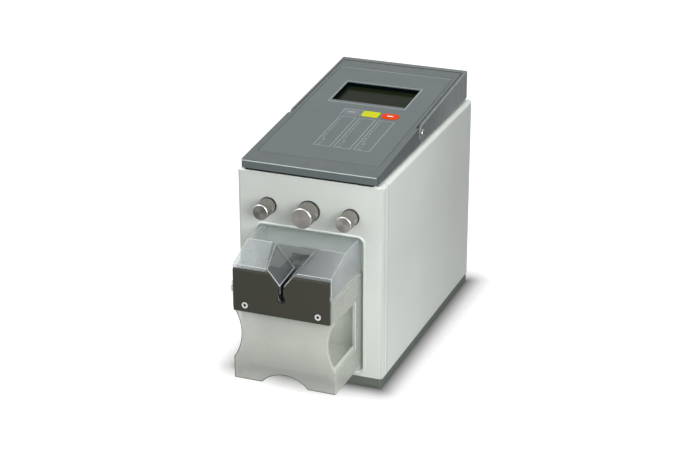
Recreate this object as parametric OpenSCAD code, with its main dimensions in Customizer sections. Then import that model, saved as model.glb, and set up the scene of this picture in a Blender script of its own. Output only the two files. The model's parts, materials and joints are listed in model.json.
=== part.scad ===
// Bench wire stripping machine: a light housing on a dark base, with a sloped control console and a folding
// carry handle on top, three dials on the front, and a clear guard hood and chip tray over the stripping head.
// Millimetres. X runs across the machine, +Y to the rear, +Z up. The origin is the centre of the
// bounding box at the floor. Modules draw with y = 0 at the front face, and placed() moves them.

/* [Housing] */
// Width across the side covers
body_w = 130; // [124:1:140]
// Depth from the front face to the rear face
body_d = 240; // [234:1:260]
// Height of the light housing above its base
shell_h = 175; // [173:1:190]
// Wall of the front panel and the covers
shell_wall = 2.5; // [2:0.1:3]
// Radius along the top side edges
shoulder_r = 4; // [3:0.5:4.5]
// Radius of the vertical corners
corner_r = 3; // [2:0.5:5]
// Radius along the front and rear top edges
brow_r = 2; // [1:0.5:3]
// Depth of the front panel back to its seam with the cover
skirt_d = 11; // [9.5:0.5:13]
// Open seam between the front panel and the cover
seam_gap = 0.8; // [0.4:0.1:1]
// Height of the base
plinth_h = 8.5; // [7.5:0.5:11]
// Inset of the base under the housing
plinth_inset = 0.8; // [0.5:0.1:2]
// Height of the feet under the base
foot_reach = 1.5; // [1:0.5:4]
// Diameter of a foot
foot_d = 14; // [10:1:18]

/* [Console] */
// Inset of the console from each side of the housing
console_inset = 4.2; // [3.5:0.1:5.5]
// Overhang of the console past the front face
console_overhang = 2; // [1:0.5:3]
// Height of the console's front edge
console_front_t = 6.7; // [6:0.1:9]
// Height of the shadow gap between the housing and the console
shadow_gap = 2; // [1.5:0.5:3]
// Slope of the control panel
panel_slope = 4.87; // [4:0.01:6]
// Wall of the console
console_wall = 2.6; // [2:0.1:3]
// Width of the display window
display_w = 69.5; // [60:0.5:76]
// Length of the display window along the slope
display_l = 41; // [34:0.5:44]
// Distance of the display window from the overlay's rear edge
display_rear = 34.5; // [28:0.5:38]
// Depth of the display glass below the panel
display_depth = 4; // [3:0.5:5]
// Width of a key
key_w = 15.5; // [12:0.5:16]
// Length of a key along the slope
key_l = 11; // [9:0.5:13]
// Distance between keys across the panel
key_pitch = 17.8; // [17.5:0.1:20]
// Travel of a key
key_travel = 0.4; // [0.3:0.1:0.5]

/* [Handle] */
// Distance of the handle's pivot behind the front face
pivot_y = 110; // [100:1:120]
// Radius of the rounded nose of an arm
nose_r = 8; // [7:0.25:8.5]
// Thickness of an arm
arm_t = 2; // [1.6:0.1:2.4]
// Thickness of the rear bar
bar_t = 7; // [6:0.5:9]
// Diameter of the pivot's shoulder
pivot_d = 5; // [4:0.5:6]
// Largest swing of the handle, which sets its clearance in the console
handle_swing = 90; // [80:1:92]

/* [Dials] */
// Diameter of the outer dials
knob_d = 14; // [12:0.5:16]
// Diameter of the centre dial
centre_knob_d = 18; // [16:0.5:20]
// Length of a dial
knob_l = 16.5; // [14:0.5:20]
// Distance of the outer dials from the centre
knob_pitch = 37; // [33:1:40]
// Height of the dials above the recess
knob_rise = 18; // [16:0.5:20]
// Diameter of a dial's shaft
dial_shaft_d = 6; // [5:0.5:6.5]

/* [Guard] */
// Height of the wire's axis above the base
wire_h = 91.3; // [88:0.1:93]
// Reach of the guard hood in front of the housing
hood_reach = 60; // [57:0.5:66]
// Width of the guard hood
hood_w = 87; // [84:0.5:88]
// Wall of the clear parts
clear_t = 2.5; // [2:0.1:3]
// Depth of the hood's flat top
flat_reach = 28.7; // [26.5:0.1:32]
// Height of the hood's flat top above the wire
hood_rise = 34.5; // [33:0.5:38]
// Fall of the hood's slope down to its front
slope_fall = 10; // [8:0.5:13]
// Thickness of the black face plate
plate_t = 2.5; // [2:0.1:3.5]
// Width of the black face plate
plate_w = 85; // [80:0.5:85.5]
// Width of the chip tray
tray_w = 91; // [90:0.5:93]
// Reach of the chip tray in front of the housing
tray_reach = 57; // [54:0.5:57]
// Width of the wire slot
slot_w = 4.2; // [4.1:0.1:5]
// Radius of the wire's keyhole
keyhole_r = 3.7; // [3.2:0.1:5]
// Depth of the recess that the guard stands in
recess_d = 6; // [4:0.5:6.5]
// Gap between the chip tray and the sides of the recess
recess_gap = 2; // [1:0.5:3]

/* [Stripping drive] */
// Stroke of the blade carriage
strip_stroke = 15; // [10:1:20]
// Diameter of the guide rods
rod_d = 8; // [6:0.5:9]
// Diameter of the drive screw
screw_d = 8; // [6:0.5:9]
// Radius of the motor
motor_r = 21; // [17:0.5:22]

/* [Hidden] */
$fn = 72;

// Overrun of every cut
over = 1;
// Clearance of a part laid into another
lay_gap = 0.3;
// Radial clearance of a turning or sliding shaft
run_play = 0.05;
// Radial play of a fixed shaft in its seat
seat_play = 0.02;
// Clearance around a small sliding part
slide_gap = 0.1;

// Housing heights and depths
base_top = foot_reach + plinth_h;
shell_top = base_top + shell_h;
half_w = body_w / 2;
guard_front = hood_reach + plate_t;
origin_shift = (guard_front - body_d) / 2;

// Base: rim, floor and feet
plinth_rim = 5;
plinth_floor = 3;
foot_seat = 1.5;
foot_inset = 16;

// Console: rear edge, rim and panel frame
handle_rear_inset = 4;
bar_gap = 1.8;
arm_gap = 0.8;
console_half = half_w - console_inset;
console_z0 = shell_top + shadow_gap;
console_edge_z = console_z0 + console_front_t;
bar_y0 = body_d - handle_rear_inset - bar_t;
console_rear = bar_y0 - bar_gap;
console_r = 2.5;
console_brow = 0.8;
rim_inset = 1;
opening_inset = 9;
panel_t = 3;
overlay_t = 0.5;
overlay_side = 3.5;
overlay_half = console_half - arm_t - arm_gap - overlay_side;
overlay_s0 = 20;
overlay_rear = 14;
overlay_s1 = (console_rear + console_overhang) / cos(panel_slope) - overlay_rear;
display_s = overlay_s1 - display_rear - display_l;
overlay_r = 3;
bezel_t = 1;
glass_t = 1.2;
board_t = 1.6;
display_board_t = 6;
key_drop = 27.5;
key_s = display_s - key_drop;
key_x0 = 6.9;
key_r = 1;
stop_key_r = 4.5;
key_gap = 0.2;
key_proud = 0.3;
stem_d = 5;
switch_h = 2.5;
switch_w = 6;
board_drop = 12;
board_edge = 2;
board_s0 = key_s - key_drop;
board_s1 = key_s + key_l + board_edge;
boss_d = 7;

// Handle: head and seat of its pivot screws
screw_head_d = 8;
screw_head_t = 1.2;
pivot_boss_d = 11;
pivot_boss_l = 7;
pivot_z = console_z0 + nose_r + lay_gap;
bar_r = 2;

// Dials: washers, bushes and encoders
washer_t = 1.2;
washer_rim = 0.5;
knob_face_gap = 0.3;
knob_chamfer = 0.8;
sleeve_t = 1.5;
sleeve_l = 5;
encoder_w = 15;
encoder_l = 12;
encoder_neck_d = 9;
encoder_wall = 2;
set_screw_d = 3;
set_screw_back = 5;
shaft_end = 9;

// Guard: heights from the wire, funnel and recess
wire_z = base_top + wire_h;
wall_x = clear_t;
hood_half = hood_w / 2;
tray_half = tray_w / 2;
plate_half = plate_w / 2;
hood_top = wire_z + hood_rise;
nose_z = hood_top - slope_fall;
slope_angle = atan(slope_fall / (hood_reach - flat_reach));
plate_drop = 16;
plate_bottom = wire_z - plate_drop;
plate_top_gap = 3;
plate_top = nose_z - plate_top_gap;
plate_v_drop = 1.2;
plate_chamfer = 1;
seam_rise = 4.6;
hood_side_bottom = wire_z + seam_rise;
part_gap = 0.6;
funnel_floor = 11;
funnel_share = 0.8;
funnel_rise = 6.2;
pin_d = 4;
pin_l = 16;
pin_inset = 3.2;
pin_rise = 5;
recess_half = tray_half + recess_gap;
recess_top_gap = 1.5;
recess_top = hood_top + recess_top_gap;
recess_sill = 4.5;
recess_bottom = base_top + recess_sill;
recess_r = 5;
lip_w = 2.2;
lip_shelf = 0.2;
knob_z = recess_top + knob_rise;
plate_screw_d = 3;
plate_screw_head_d = 5.5;
plate_sink_gap = 0.7;
plate_screw_x = 32.3;
plate_screw_up = 5.7;
plate_sink_t = 1.6;
socket_d = 2.9;
socket_depth = 1.2;

// Chip tray: scallops, side windows, floor and arch
tray_lift = 10;
tray_bottom = base_top + tray_lift;
tray_top = hood_side_bottom - part_gap;
tray_panel_top = plate_bottom - part_gap;
scallop_bite = 7.2;
scallop_foot = 19.5;
scallop_over = 1;
leg_reach = 11.5;
arch_half = 20.8;
arch_rise = 9.5;
tray_floor_up = 12;
lug_h = 4.5;
lug_reach = 3;
lug_w = 1.2;
lug_proud = 2.2;
rail_w = 4;
rail_h = 7;
rail_inset = 5;
rail_end = 8;

// Stripping head, from the front face and the wire's axis
head_w = 34;
head_front = -24;
head_t = 11;
head_drop = 13;
head_up = 10;
cheek_t = 3.4;
guide_w = 52;
guide_gap = 1;
guide_top_gap = 0.8;
guide_nose = 8;
slot_deep = 3;
flange_out = 8;
jaw_l = 9.6;
jaw_t = 5;
jaw_h = 8;
jaw_back = 3;
jaw_y = head_front + jaw_back;
blade_t = 2.4;
blade_h = 10;
blade_l = 8.6;
carriage_gap = 1.5;
carriage_l = 10;
carriage_y0 = head_front + head_t + carriage_gap;
carriage_half = head_w / 2 - cheek_t - carriage_gap / 2;
blade_y = carriage_y0 + jaw_back / 2;
sensor_y = 12;
sensor_t = 3;
neck_half = 7;
yoke_w = 66;
yoke_t = 10;
yoke_y = 25;
rod_inset = 9;
rod_x = yoke_w / 2 - rod_inset;
screw_drop = 27;

// Chassis and drive
chassis_t = 2;
chassis_gap = 2;
bulkhead_y = 15;
bulkhead_t = 3;
bulkhead_side = 13;
bulkhead_half = half_w - bulkhead_side;
flange_l = 16;
bulkhead_top_gap = 8;
opening_half = 19;
bulkhead_hole_half = 18;
yoke_end_gap = 8;
rear_bulkhead_y = yoke_y + yoke_t + strip_stroke + yoke_end_gap;
rear_bulkhead_t = 4;
rear_bulkhead_top = wire_z + 2 * rod_d;
pulley_gap = 3;
pulley_l = 8;
pulley_y0 = rear_bulkhead_y + rear_bulkhead_t + pulley_gap;
pulley_y1 = pulley_y0 + pulley_l;
screw_pulley_r = 16;
motor_pulley_r = 8;
belt_t = 1.6;
belt_gap = 0.2;
belt_w = 6;
belt_steps = 24;
motor_l = 55;
motor_foot = 3;
motor_z = base_top + chassis_t + motor_r + motor_foot;
motor_plate_t = 3;
motor_boss_r = 9;
motor_boss_l = 2;
motor_shaft_r = 2.5;
screw_z = wire_z - screw_drop;

// Rear panel: frame, vents, inlet and switch
rear_flange = 8;
rear_t = 2;
rear_y1 = body_d - shell_wall;
rear_y0 = rear_y1 - rear_t;
rear_screw_d = 3;
rear_screw_head_d = 5.5;
rear_screw_head_t = 1.6;
rear_screw_in = 5;
hex_share = 0.96;
vent_share = 0.86;
edge_share = 0.98;
vent_w = 50;
vent_h = 3;
vent_pitch = 7;
vent_rows = 6;
inlet_side = 35;
inlet_x = half_w - inlet_side;
inlet_up = 26;
inlet_z = base_top + inlet_up;
inlet_w = 27;
inlet_h = 20;
inlet_flange_w = 32;
inlet_flange_h = 25;
inlet_flange_t = 1.6;
inlet_depth = 22;
socket_w = 24;
socket_h = 15.6;
socket_l = 17;
inlet_pin_l = 10;
inlet_pin_w = 4;
inlet_pin_t = 2;
inlet_pin_x = 7;
inlet_pin_up = 2;
switch_x = -inlet_x;
rocker_w = 18;
rocker_h = 12;
rocker_swing = 10;
rocker_share = 0.76;
rocker_proud = 6;
rocker_dip = 1;
rocker_axle_d = 2.5;
switch_flange = 2.5;
switch_depth = 14;
rocker_y = rear_y1 - switch_depth / 3;
chassis_half = half_w - shell_wall - chassis_gap;
drive_end = motor_y0() + motor_l;
supply_side_gap = 8.5;
supply_front_gap = 11.5;
supply_h = 50;
supply_rear_gap = 28;
supply_y1 = rear_y0 - supply_rear_gap;
supply_gap = 6;
supply_w = chassis_half - supply_gap - supply_side_gap;
supply_l = supply_y1 - drive_end - supply_front_gap;
board_side_gap = 10.5;
board_front_gap = 3.5;
board_w = chassis_half - supply_gap - board_side_gap;
board_l = supply_y1 - drive_end - board_front_gap;
post_h = 5;
post_d = 6;
cap_r = 8;
cap_h = 26;
coil_w = 18;

// Moves what is drawn from the front face to the machine's own origin
module placed() translate([0, origin_shift, 0]) children();

// Stands what is drawn in the panel's own plane: x across, y up the slope, z out of the panel
module on_panel() translate([0, -console_overhang, console_edge_z]) rotate([panel_slope, 0, 0]) children();

// Height of the panel at a distance behind the front face
function panel_z(y) = console_edge_z + (y + console_overhang) * tan(panel_slope);

// A rectangle with rounded corners, centred
module round_rect(w, h, r) {
    square([w - 2 * r, h], center = true);
    square([w, h - 2 * r], center = true);
    for (x = [-1, 1], y = [-1, 1]) translate([x * (w / 2 - r), y * (h / 2 - r)]) circle(r);
}

// An outline in y and z, drawn across the machine
module across(w) rotate([90, 0, 90]) linear_extrude(height = w, center = true) children();

// An outline in x and z, drawn from y0 back to y1
module along(y0, y1) translate([0, y1, 0]) rotate([90, 0, 0]) linear_extrude(height = y1 - y0) children();

// A cylinder that runs back from y0 to y1
module bar(r, y0, y1) translate([0, y0, 0]) rotate([-90, 0, 0]) cylinder(r = r, h = y1 - y0);

// A block given by its low and high corners
module block(low, high) translate(low) cube(high - low);

// The light housing's outer form, shrunk by an inset, with its bottom at a height
module housing_form(inset, z0) {
    top = shell_top - inset;
    intersection() {
        translate([0, body_d / 2, z0]) linear_extrude(height = top - z0)
            round_rect(body_w - 2 * inset, body_d - 2 * inset, max(corner_r - inset, 0.1 * corner_r));
        along(0, body_d) {
            edge_r = shoulder_r - inset;
            w = half_w - inset;
            translate([-w, z0]) square([2 * w, top - edge_r - z0]);
            translate([-w + edge_r, z0]) square([2 * (w - edge_r), top - z0]);
            for (x = [-1, 1]) translate([x * (w - edge_r), top - edge_r]) circle(edge_r);
        }
        across(body_w) {
            edge_r = max(brow_r - inset, 0.1 * brow_r);
            y0 = inset;
            y1 = body_d - inset;
            translate([y0, z0]) square([y1 - y0, top - edge_r - z0]);
            translate([y0 + edge_r, z0]) square([y1 - y0 - 2 * edge_r, top - z0]);
            for (y = [y0 + edge_r, y1 - edge_r]) translate([y, top - edge_r]) circle(edge_r);
        }
    }
}

// Outline of the recess that the guard stands in, grown by a margin
module recess_outline(margin) {
    w = 2 * (recess_half + margin);
    h = recess_top - recess_bottom + 2 * margin;
    translate([0, (recess_top + recess_bottom) / 2]) round_rect(w, h, recess_r + margin);
}

// Half-round lip on the front face, a bar along each side of the recess and a bend at each corner
module recess_lip() {
    grow = lip_shelf + lip_w / 2;
    bend_r = recess_r + grow;
    half = recess_half - recess_r;
    middle = (recess_top + recess_bottom) / 2;
    rise = (recess_top - recess_bottom) / 2 - recess_r;
    for (side = [-1, 1]) {
        translate([0, 0, middle + side * (rise + bend_r)]) rotate([0, 90, 0])
            cylinder(d = lip_w, h = 2 * half, center = true);
        translate([side * (half + bend_r), 0, middle]) cylinder(d = lip_w, h = 2 * rise, center = true);
    }
    for (turn = [0:3]) {
        x = turn == 0 || turn == 3 ? half : -half;
        z = turn < 2 ? rise : -rise;
        translate([x, 0, middle + z]) rotate([90, -90 * turn, 0]) rotate_extrude(angle = 90)
            translate([bend_r, 0]) circle(d = lip_w);
    }
}

module base_plinth() color("#55605a") placed() {
    w = body_w - 2 * plinth_inset;
    d = body_d - 2 * plinth_inset;
    r = corner_r - plinth_inset;
    difference() {
        translate([0, body_d / 2, foot_reach]) linear_extrude(height = plinth_h) round_rect(w, d, r);
        difference() {
            translate([0, body_d / 2, foot_reach + plinth_floor]) linear_extrude(height = plinth_h)
                round_rect(w - 2 * plinth_rim, d - 2 * plinth_rim, r);
            foot_places() translate([0, 0, foot_reach]) cylinder(d = foot_d + 2 * foot_seat, h = plinth_h);
        }
        foot_places() translate([0, 0, -over]) cylinder(d = foot_d, h = foot_reach + foot_seat + over);
    }
}

// The four places of the feet, which are those of the base's pillars too
module foot_places()
    for (x = [-1, 1], y = [foot_inset, body_d - foot_inset])
        translate([x * (half_w - foot_inset), y, 0]) children();

module rubber_feet() color("#2b2b2b") placed()
    foot_places() rotate_extrude() {
        square([foot_d / 2 - foot_reach / 3, foot_reach + foot_seat]);
        translate([0, foot_reach / 3]) square([foot_d / 2 - seat_play,
            foot_reach + foot_seat - foot_reach / 3]);
    }

module front_panel() color("#cdd2ce") placed() {
    difference() {
        union() {
            difference() {
                intersection() {
                    housing_form(0, base_top);
                    block([-half_w, 0, base_top], [half_w, skirt_d, shell_top]);
                }
                housing_form(shell_wall, base_top - over);
            }
            // pocket behind the guard, and the raised round lip at its mouth
            along(0, recess_d + shell_wall) recess_outline(shell_wall);
            recess_lip();
        }
        along(-lip_w, recess_d) recess_outline(0);
        along(recess_d - over, recess_d + shell_wall + over)
            translate([-opening_half, wire_z - head_drop - over])
                square([2 * opening_half, head_drop + head_up + 2 * over]);
        for (x = [-1, 0, 1]) translate([x * knob_pitch, 0, knob_z])
            bar(dial_shaft_d / 2 + sleeve_t + seat_play, -over, shell_wall + over);
        for (x = [-1, 1]) translate([x * pin_x(), 0, pin_z()])
            bar(pin_d / 2 + seat_play, recess_d - over, recess_d + shell_wall + over);
    }
}

module housing_cover() color("#cdd2ce") placed() {
    difference() {
        intersection() {
            housing_form(0, base_top);
            block([-half_w, skirt_d + seam_gap, base_top], [half_w, body_d, shell_top]);
        }
        housing_form(shell_wall, base_top - over);
        // opening under the console for its boards
        block([-half_w + shell_wall + opening_inset, skirt_d + opening_inset, shell_top - 2 * shell_wall],
            [half_w - shell_wall - opening_inset, console_rear - 2 * opening_inset, shell_top + over]);
        // window in the rear wall, which the rear panel closes from inside
        block([-half_w + rear_flange, body_d - 2 * shell_wall, base_top - over],
            [half_w - rear_flange, body_d + over, shell_top - rear_flange]);
    }
}

function rear_half() = half_w - lay_gap - max(corner_r, shell_wall);

module rear_panel() color("#c2c7c3") placed() difference() {
    block([-rear_half(), rear_y0, base_top], [rear_half(), rear_y1, shell_top - shell_wall - brow_r]);
    translate([inlet_x, 0, inlet_z]) along(rear_y0 - over, rear_y1 + over) square([inlet_w, inlet_h],
        center = true);
    translate([switch_x, 0, inlet_z]) along(rear_y0 - over, rear_y1 + over)
        square([switch_w_out(), switch_h_out()], center = true);
    for (i = [0:vent_rows - 1], x = [-1, 1])
        translate([x * vent_w / 2, 0, (base_top + shell_top) / 2 + i * vent_pitch])
            along(rear_y0 - over, rear_y1 + over) round_rect(vent_w * vent_share, vent_h,
                vent_h / 2 * edge_share);
    rear_screw_places() bar(rear_screw_d / 2 + seat_play, rear_y0 - over, rear_y1 + over);
}

module rear_screw_places()
    for (x = [-1, 1], z = [base_top + 2 * rear_flange, shell_top - 2 * rear_flange])
        translate([x * (half_w - rear_flange - rear_screw_in), 0, z]) children();

module rear_screws() color("#9a9a98") placed() rear_screw_places() difference() {
    union() {
        bar(rear_screw_d / 2, rear_y0 - rear_screw_in, rear_y1);
        bar(rear_screw_head_d / 2, rear_y1, rear_y1 + rear_screw_head_t);
    }
    translate([0, rear_y1 + rear_screw_head_t / 2, 0]) rotate([-90, 0, 0])
        cylinder(d = rear_screw_d * hex_share, h = rear_screw_head_t, $fn = 6);
}

// Side outline of the console, shrunk by a wall
module console_side(wall, z0) {
    y0 = -console_overhang + wall;
    y1 = console_rear - wall;
    drop = wall / cos(panel_slope);
    polygon([[y0, z0], [y1, z0], [y1, panel_z(y1) - drop], [y0 + console_brow, panel_z(y0 + console_brow) - drop],
        [y0, panel_z(y0) - drop - console_brow]]);
}

// Room that an arm needs beside the console: its nose, its swing above the pivot and all behind it
module arm_room() {
    reach = nose_r + swing_room();
    translate([pivot_y, pivot_z]) circle(nose_r + arm_gap);
    translate([pivot_y - reach, pivot_z]) square([body_d, body_d]);
    translate([pivot_y, pivot_z - nose_r - arm_gap]) square([body_d, body_d]);
}

// How far an arm leans past its nose when it stands up
function swing_room() = arm_gap + 2 * nose_r * tan(panel_slope + max(handle_swing - 90, 0));

module console_shell() color("#737c7c") placed() {
    narrow = console_half - arm_t - arm_gap;
    difference() {
        union() {
            intersection() {
                across(2 * console_half) console_side(0, console_z0);
                translate([0, (console_rear - console_overhang) / 2, console_z0])
                    linear_extrude(height = body_d)
                    round_rect(2 * console_half, console_rear + console_overhang, console_r);
            }
            // inner rim that stands on the housing, behind the shadow gap
            translate([0, console_rear / 2, shell_top]) linear_extrude(height = shadow_gap)
                round_rect(2 * (narrow - rim_inset), console_rear - 2 * rim_inset, console_r);
        }
        difference() {
            intersection() {
                across(2 * (narrow - console_wall)) console_side(panel_t, shell_top - over);
                translate([0, (console_rear - console_overhang) / 2, shell_top - over])
                    linear_extrude(height = body_d)
                    round_rect(2 * (narrow - 2 * console_wall), console_rear - 4 * console_wall, console_r);
            }
            // bosses for the handle's screws
            for (x = [-1, 1]) translate([x * (narrow - pivot_boss_l / 2), pivot_y, pivot_z]) rotate([0, 90,
                0])
                cylinder(d = pivot_boss_d, h = pivot_boss_l, center = true);
        }
        for (x = [-1, 1]) translate([x * (narrow + console_half / 2), 0, 0]) across(console_half) arm_room();
        for (x = [-1, 1]) translate([x * narrow, pivot_y, pivot_z]) rotate([0, 90, 0])
            cylinder(r = pivot_d / 2 + seat_play, h = 2 * pivot_boss_l, center = true);
        on_panel() {
            translate([0, (overlay_s0 + overlay_s1) / 2, -overlay_t]) linear_extrude(height = panel_t)
                round_rect(2 * overlay_half, overlay_s1 - overlay_s0, overlay_r);
            translate([0, display_s + display_l / 2, -3 * panel_t]) linear_extrude(height = 4 * panel_t)
                square([display_w + 2 * bezel_t, display_l + 2 * bezel_t], center = true);
            key_places() key_outline($key, key_gap, 4 * panel_t);
        }
    }
}

// The keys' places on the panel; the third key has rounder ends
module key_places(which = [0, 1, 2])
    for ($key = which) translate([-key_x0 + $key * key_pitch, key_s + key_l / 2, 0]) children();

module key_outline(key, margin, h) translate([0, 0, -h / 2]) linear_extrude(height = h)
    round_rect(key_w + 2 * margin, key_l + 2 * margin, (key == 2 ? stop_key_r : key_r) + margin);

module control_overlay() color("#70787a") placed() on_panel() difference() {
    translate([0, (overlay_s0 + overlay_s1) / 2, -overlay_t]) linear_extrude(height = overlay_t)
        round_rect(2 * (overlay_half - lay_gap), overlay_s1 - overlay_s0 - 2 * lay_gap, overlay_r - lay_gap);
    translate([0, display_s + display_l / 2, 0]) cube([display_w, display_l, 4 * panel_t], center = true);
    key_places() key_outline($key, key_gap, 4 * panel_t);
}

module display_bezel() color("#15181a") placed() on_panel() translate([0, display_s + display_l / 2, 0])
    difference() {
        w = display_w + 2 * bezel_t - 2 * seat_play;
        l = display_l + 2 * bezel_t - 2 * seat_play;
        translate([0, 0, -display_depth - glass_t])
            linear_extrude(height = display_depth + glass_t - overlay_t)
            square([w, l], center = true);
        cube([display_w, display_l, 2 * display_depth], center = true);
        cube([w - 2 * bezel_t - 4 * seat_play, l - 2 * bezel_t - 4 * seat_play, 4 * display_depth],
            center = true);
    }

module display_glass() color("#2d3426") placed() on_panel()
    translate([0, display_s + display_l / 2, -display_depth - glass_t]) linear_extrude(height = glass_t)
        square([display_w - 8 * seat_play, display_l - 8 * seat_play], center = true);

module display_board() color("#2f5d46") placed() on_panel()
    translate([0, display_s + display_l / 2, -display_depth - glass_t - display_board_t]) {
        linear_extrude(height = display_board_t) square([display_w + 4 * bezel_t, display_l + 4 * bezel_t],
            center = true);
    }

module panel_key(key, shade) color(shade) placed() on_panel() key_places([key]) {
    translate([0, 0, (key_proud - panel_t) / 2]) key_outline(key, 0, panel_t + key_proud);
    translate([0, 0, key_foot()]) cylinder(d = stem_d, h = -panel_t / 2 - key_foot());
}

// Underside of a key's stem at rest, which is its travel above the switch
function key_foot() = -board_drop + board_t + switch_h + key_travel + slide_gap;

module left_key() panel_key(0, "#7d8587");
module centre_key() panel_key(1, "#dcdc10");
module right_key() panel_key(2, "#e2571c");

module control_board() color("#2f5d46") placed() on_panel() {
    translate([0, (board_s0 + board_s1) / 2, -board_drop]) linear_extrude(height = board_t)
        square([2 * (overlay_half - boss_d), board_s1 - board_s0], center = true);
    for (x = [-1, 1], s = [board_s0 + boss_d, board_s1 - boss_d])
        translate([x * (overlay_half - 1.5 * boss_d), s, -board_drop]) cylinder(d = boss_d,
            h = board_drop - panel_t);
}

module key_switches() color("#303438") placed() on_panel() key_places()
    translate([0, 0, -board_drop + board_t]) linear_extrude(height = switch_h)
        square([switch_w, switch_w], center = true);

module carry_handle() color("#6c7573") placed() {
    difference() {
        union() {
            intersection() {
                for (x = [-1, 1]) translate([x * (console_half - arm_t / 2), 0, 0])
                    across(arm_t) handle_side();
                across(2 * console_half) handle_side();
            }
            intersection() {
                across(2 * console_half) handle_side();
                block([-console_half, bar_y0, 0], [console_half, body_d, 2 * body_d]);
            }
        }
        for (x = [-1, 1]) translate([x * console_half, pivot_y, pivot_z]) rotate([0, 90, 0])
            cylinder(r = pivot_d / 2 + run_play, h = 4 * arm_t, center = true);
    }
}

// Side outline of the handle at rest: a wedge from its nose to the rear bar, flush with the panel
module handle_side() {
    y1 = bar_y0 + bar_t;
    z0 = console_z0 + lay_gap;
    // the top edge leaves the nose at its tangent
    tangent = [pivot_y - nose_r * sin(panel_slope), pivot_z + nose_r * cos(panel_slope)];
    rise = tan(panel_slope);
    top_end = tangent[1] + (y1 - bar_r - tangent[0]) * rise;
    translate([pivot_y, pivot_z]) circle(nose_r);
    polygon([[pivot_y, z0], [y1, z0], [y1, top_end - bar_r], [y1 - bar_r, top_end], tangent, [pivot_y,
        pivot_z]]);
    translate([y1 - bar_r, top_end - bar_r]) circle(bar_r);
}

module handle_screws() color("#b9bbb8") placed()
    for (x = [-1, 1]) translate([x * console_half, pivot_y, pivot_z]) rotate([0, x * 90, 0]) difference() {
        union() {
            translate([0, 0, -arm_t - pivot_boss_l]) cylinder(d = pivot_d,
                h = arm_t + pivot_boss_l + slide_gap);
            translate([0, 0, slide_gap]) cylinder(d1 = screw_head_d, d2 = screw_head_d - screw_head_t,
                h = screw_head_t);
        }
        translate([0, 0, slide_gap + screw_head_t / 2]) cylinder(d = screw_head_d / 2, h = screw_head_t,
            $fn = 6);
    }

// A dial, from its face back to its washer: chamfered face, shallow dish and a shaft bore
module knob(d, x) placed() translate([x, 0, knob_z]) rotate([90, 0, 0]) difference() {
    z0 = washer_t + knob_face_gap;
    z1 = z0 + knob_l;
    c = knob_chamfer;
    rotate_extrude() polygon([[0, z0], [d / 2 - c, z0], [d / 2, z0 + c], [d / 2, z1 - c], [d / 2 - c, z1],
        [d / 2 - 2 * c, z1], [d / 2 - 3 * c, z1 - c / 2], [0, z1 - c / 2]]);
    translate([0, 0, -over]) cylinder(r = dial_shaft_d / 2 + seat_play, h = z1 - shaft_end / 2 + over);
    // hole of the set screw, on the right-hand side
    translate([0, 0, z0 + set_screw_back]) rotate([0, 90, 0]) cylinder(r = set_screw_d / 2 + seat_play,
        h = d);
}

module dial_shaft(x) placed() translate([x, 0, knob_z])
    bar(dial_shaft_d / 2, -washer_t - knob_face_gap - knob_l + shaft_end / 2,
        bulkhead_y + bulkhead_t + encoder_l - encoder_wall - lay_gap);

module set_screw(d, x) placed() translate([x, -washer_t - knob_face_gap - set_screw_back, knob_z])
    rotate([0, 90, 0])
    difference() {
        l = d / 2 - dial_shaft_d / 2 - set_screw_d / 2;
        translate([0, 0, dial_shaft_d / 2]) cylinder(d = set_screw_d, h = l);
        translate([0, 0, dial_shaft_d / 2 + l / 2]) cylinder(d = set_screw_d / 2, h = l, $fn = 6);
    }

module left_knob() color("#a9a6a2") knob(knob_d, -knob_pitch);
module centre_knob() color("#a9a6a2") knob(centre_knob_d, 0);
module right_knob() color("#a9a6a2") knob(knob_d, knob_pitch);
module left_shaft() color("#8d8f8f") dial_shaft(-knob_pitch);
module centre_shaft() color("#8d8f8f") dial_shaft(0);
module right_shaft() color("#8d8f8f") dial_shaft(knob_pitch);
module left_set_screw() color("#4a4a4a") set_screw(knob_d, -knob_pitch);
module centre_set_screw() color("#4a4a4a") set_screw(centre_knob_d, 0);
module right_set_screw() color("#4a4a4a") set_screw(knob_d, knob_pitch);

module dial_bushes() color("#26282a") placed() for (i = [-1, 0, 1]) translate([i * knob_pitch, 0, knob_z])
    difference() {
        union() {
            bar((i == 0 ? centre_knob_d : knob_d) / 2 + washer_rim, -washer_t, 0);
            bar(dial_shaft_d / 2 + sleeve_t, 0, sleeve_l);
        }
        bar(dial_shaft_d / 2 + run_play, -washer_t - over, sleeve_l + over);
    }

module dial_encoders() color("#3c4448") placed() for (i = [-1, 0, 1]) translate([i * knob_pitch, 0, knob_z])
    difference() {
        y0 = bulkhead_y + bulkhead_t;
        union() {
            along(y0, y0 + encoder_l) square([encoder_w, encoder_w], center = true);
            bar(encoder_neck_d / 2, bulkhead_y - bulkhead_t, y0);
        }
        bar(dial_shaft_d / 2 + run_play, 0, y0 + encoder_l - encoder_wall);
    }

// Places of the two dowel pins that the hood slides on
function pin_x() = hood_half - wall_x - pin_inset;
function pin_z() = hood_side_bottom + pin_rise;

module hood_pins() color("#b4b6b4") placed()
    for (x = [-1, 1]) translate([x * pin_x(), 0, pin_z()]) bar(pin_d / 2, recess_d - pin_l,
        recess_d + shell_wall);

// Side outline of the hood: flat top, slope and front, as an outer line or moved in by the wall
module hood_side(inset, bottom) {
    rise = inset * tan(slope_angle / 2);
    fall = inset * tan((90 - slope_angle) / 2);
    rear = recess_d - lay_gap;
    polygon([[rear + (inset > 0 ? over : 0), bottom], [rear + (inset > 0 ? over : 0), hood_top - inset],
        [-flat_reach + rise, hood_top - inset], [-hood_reach + inset, nose_z - fall], [-hood_reach + inset,
            bottom]]);
}

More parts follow.
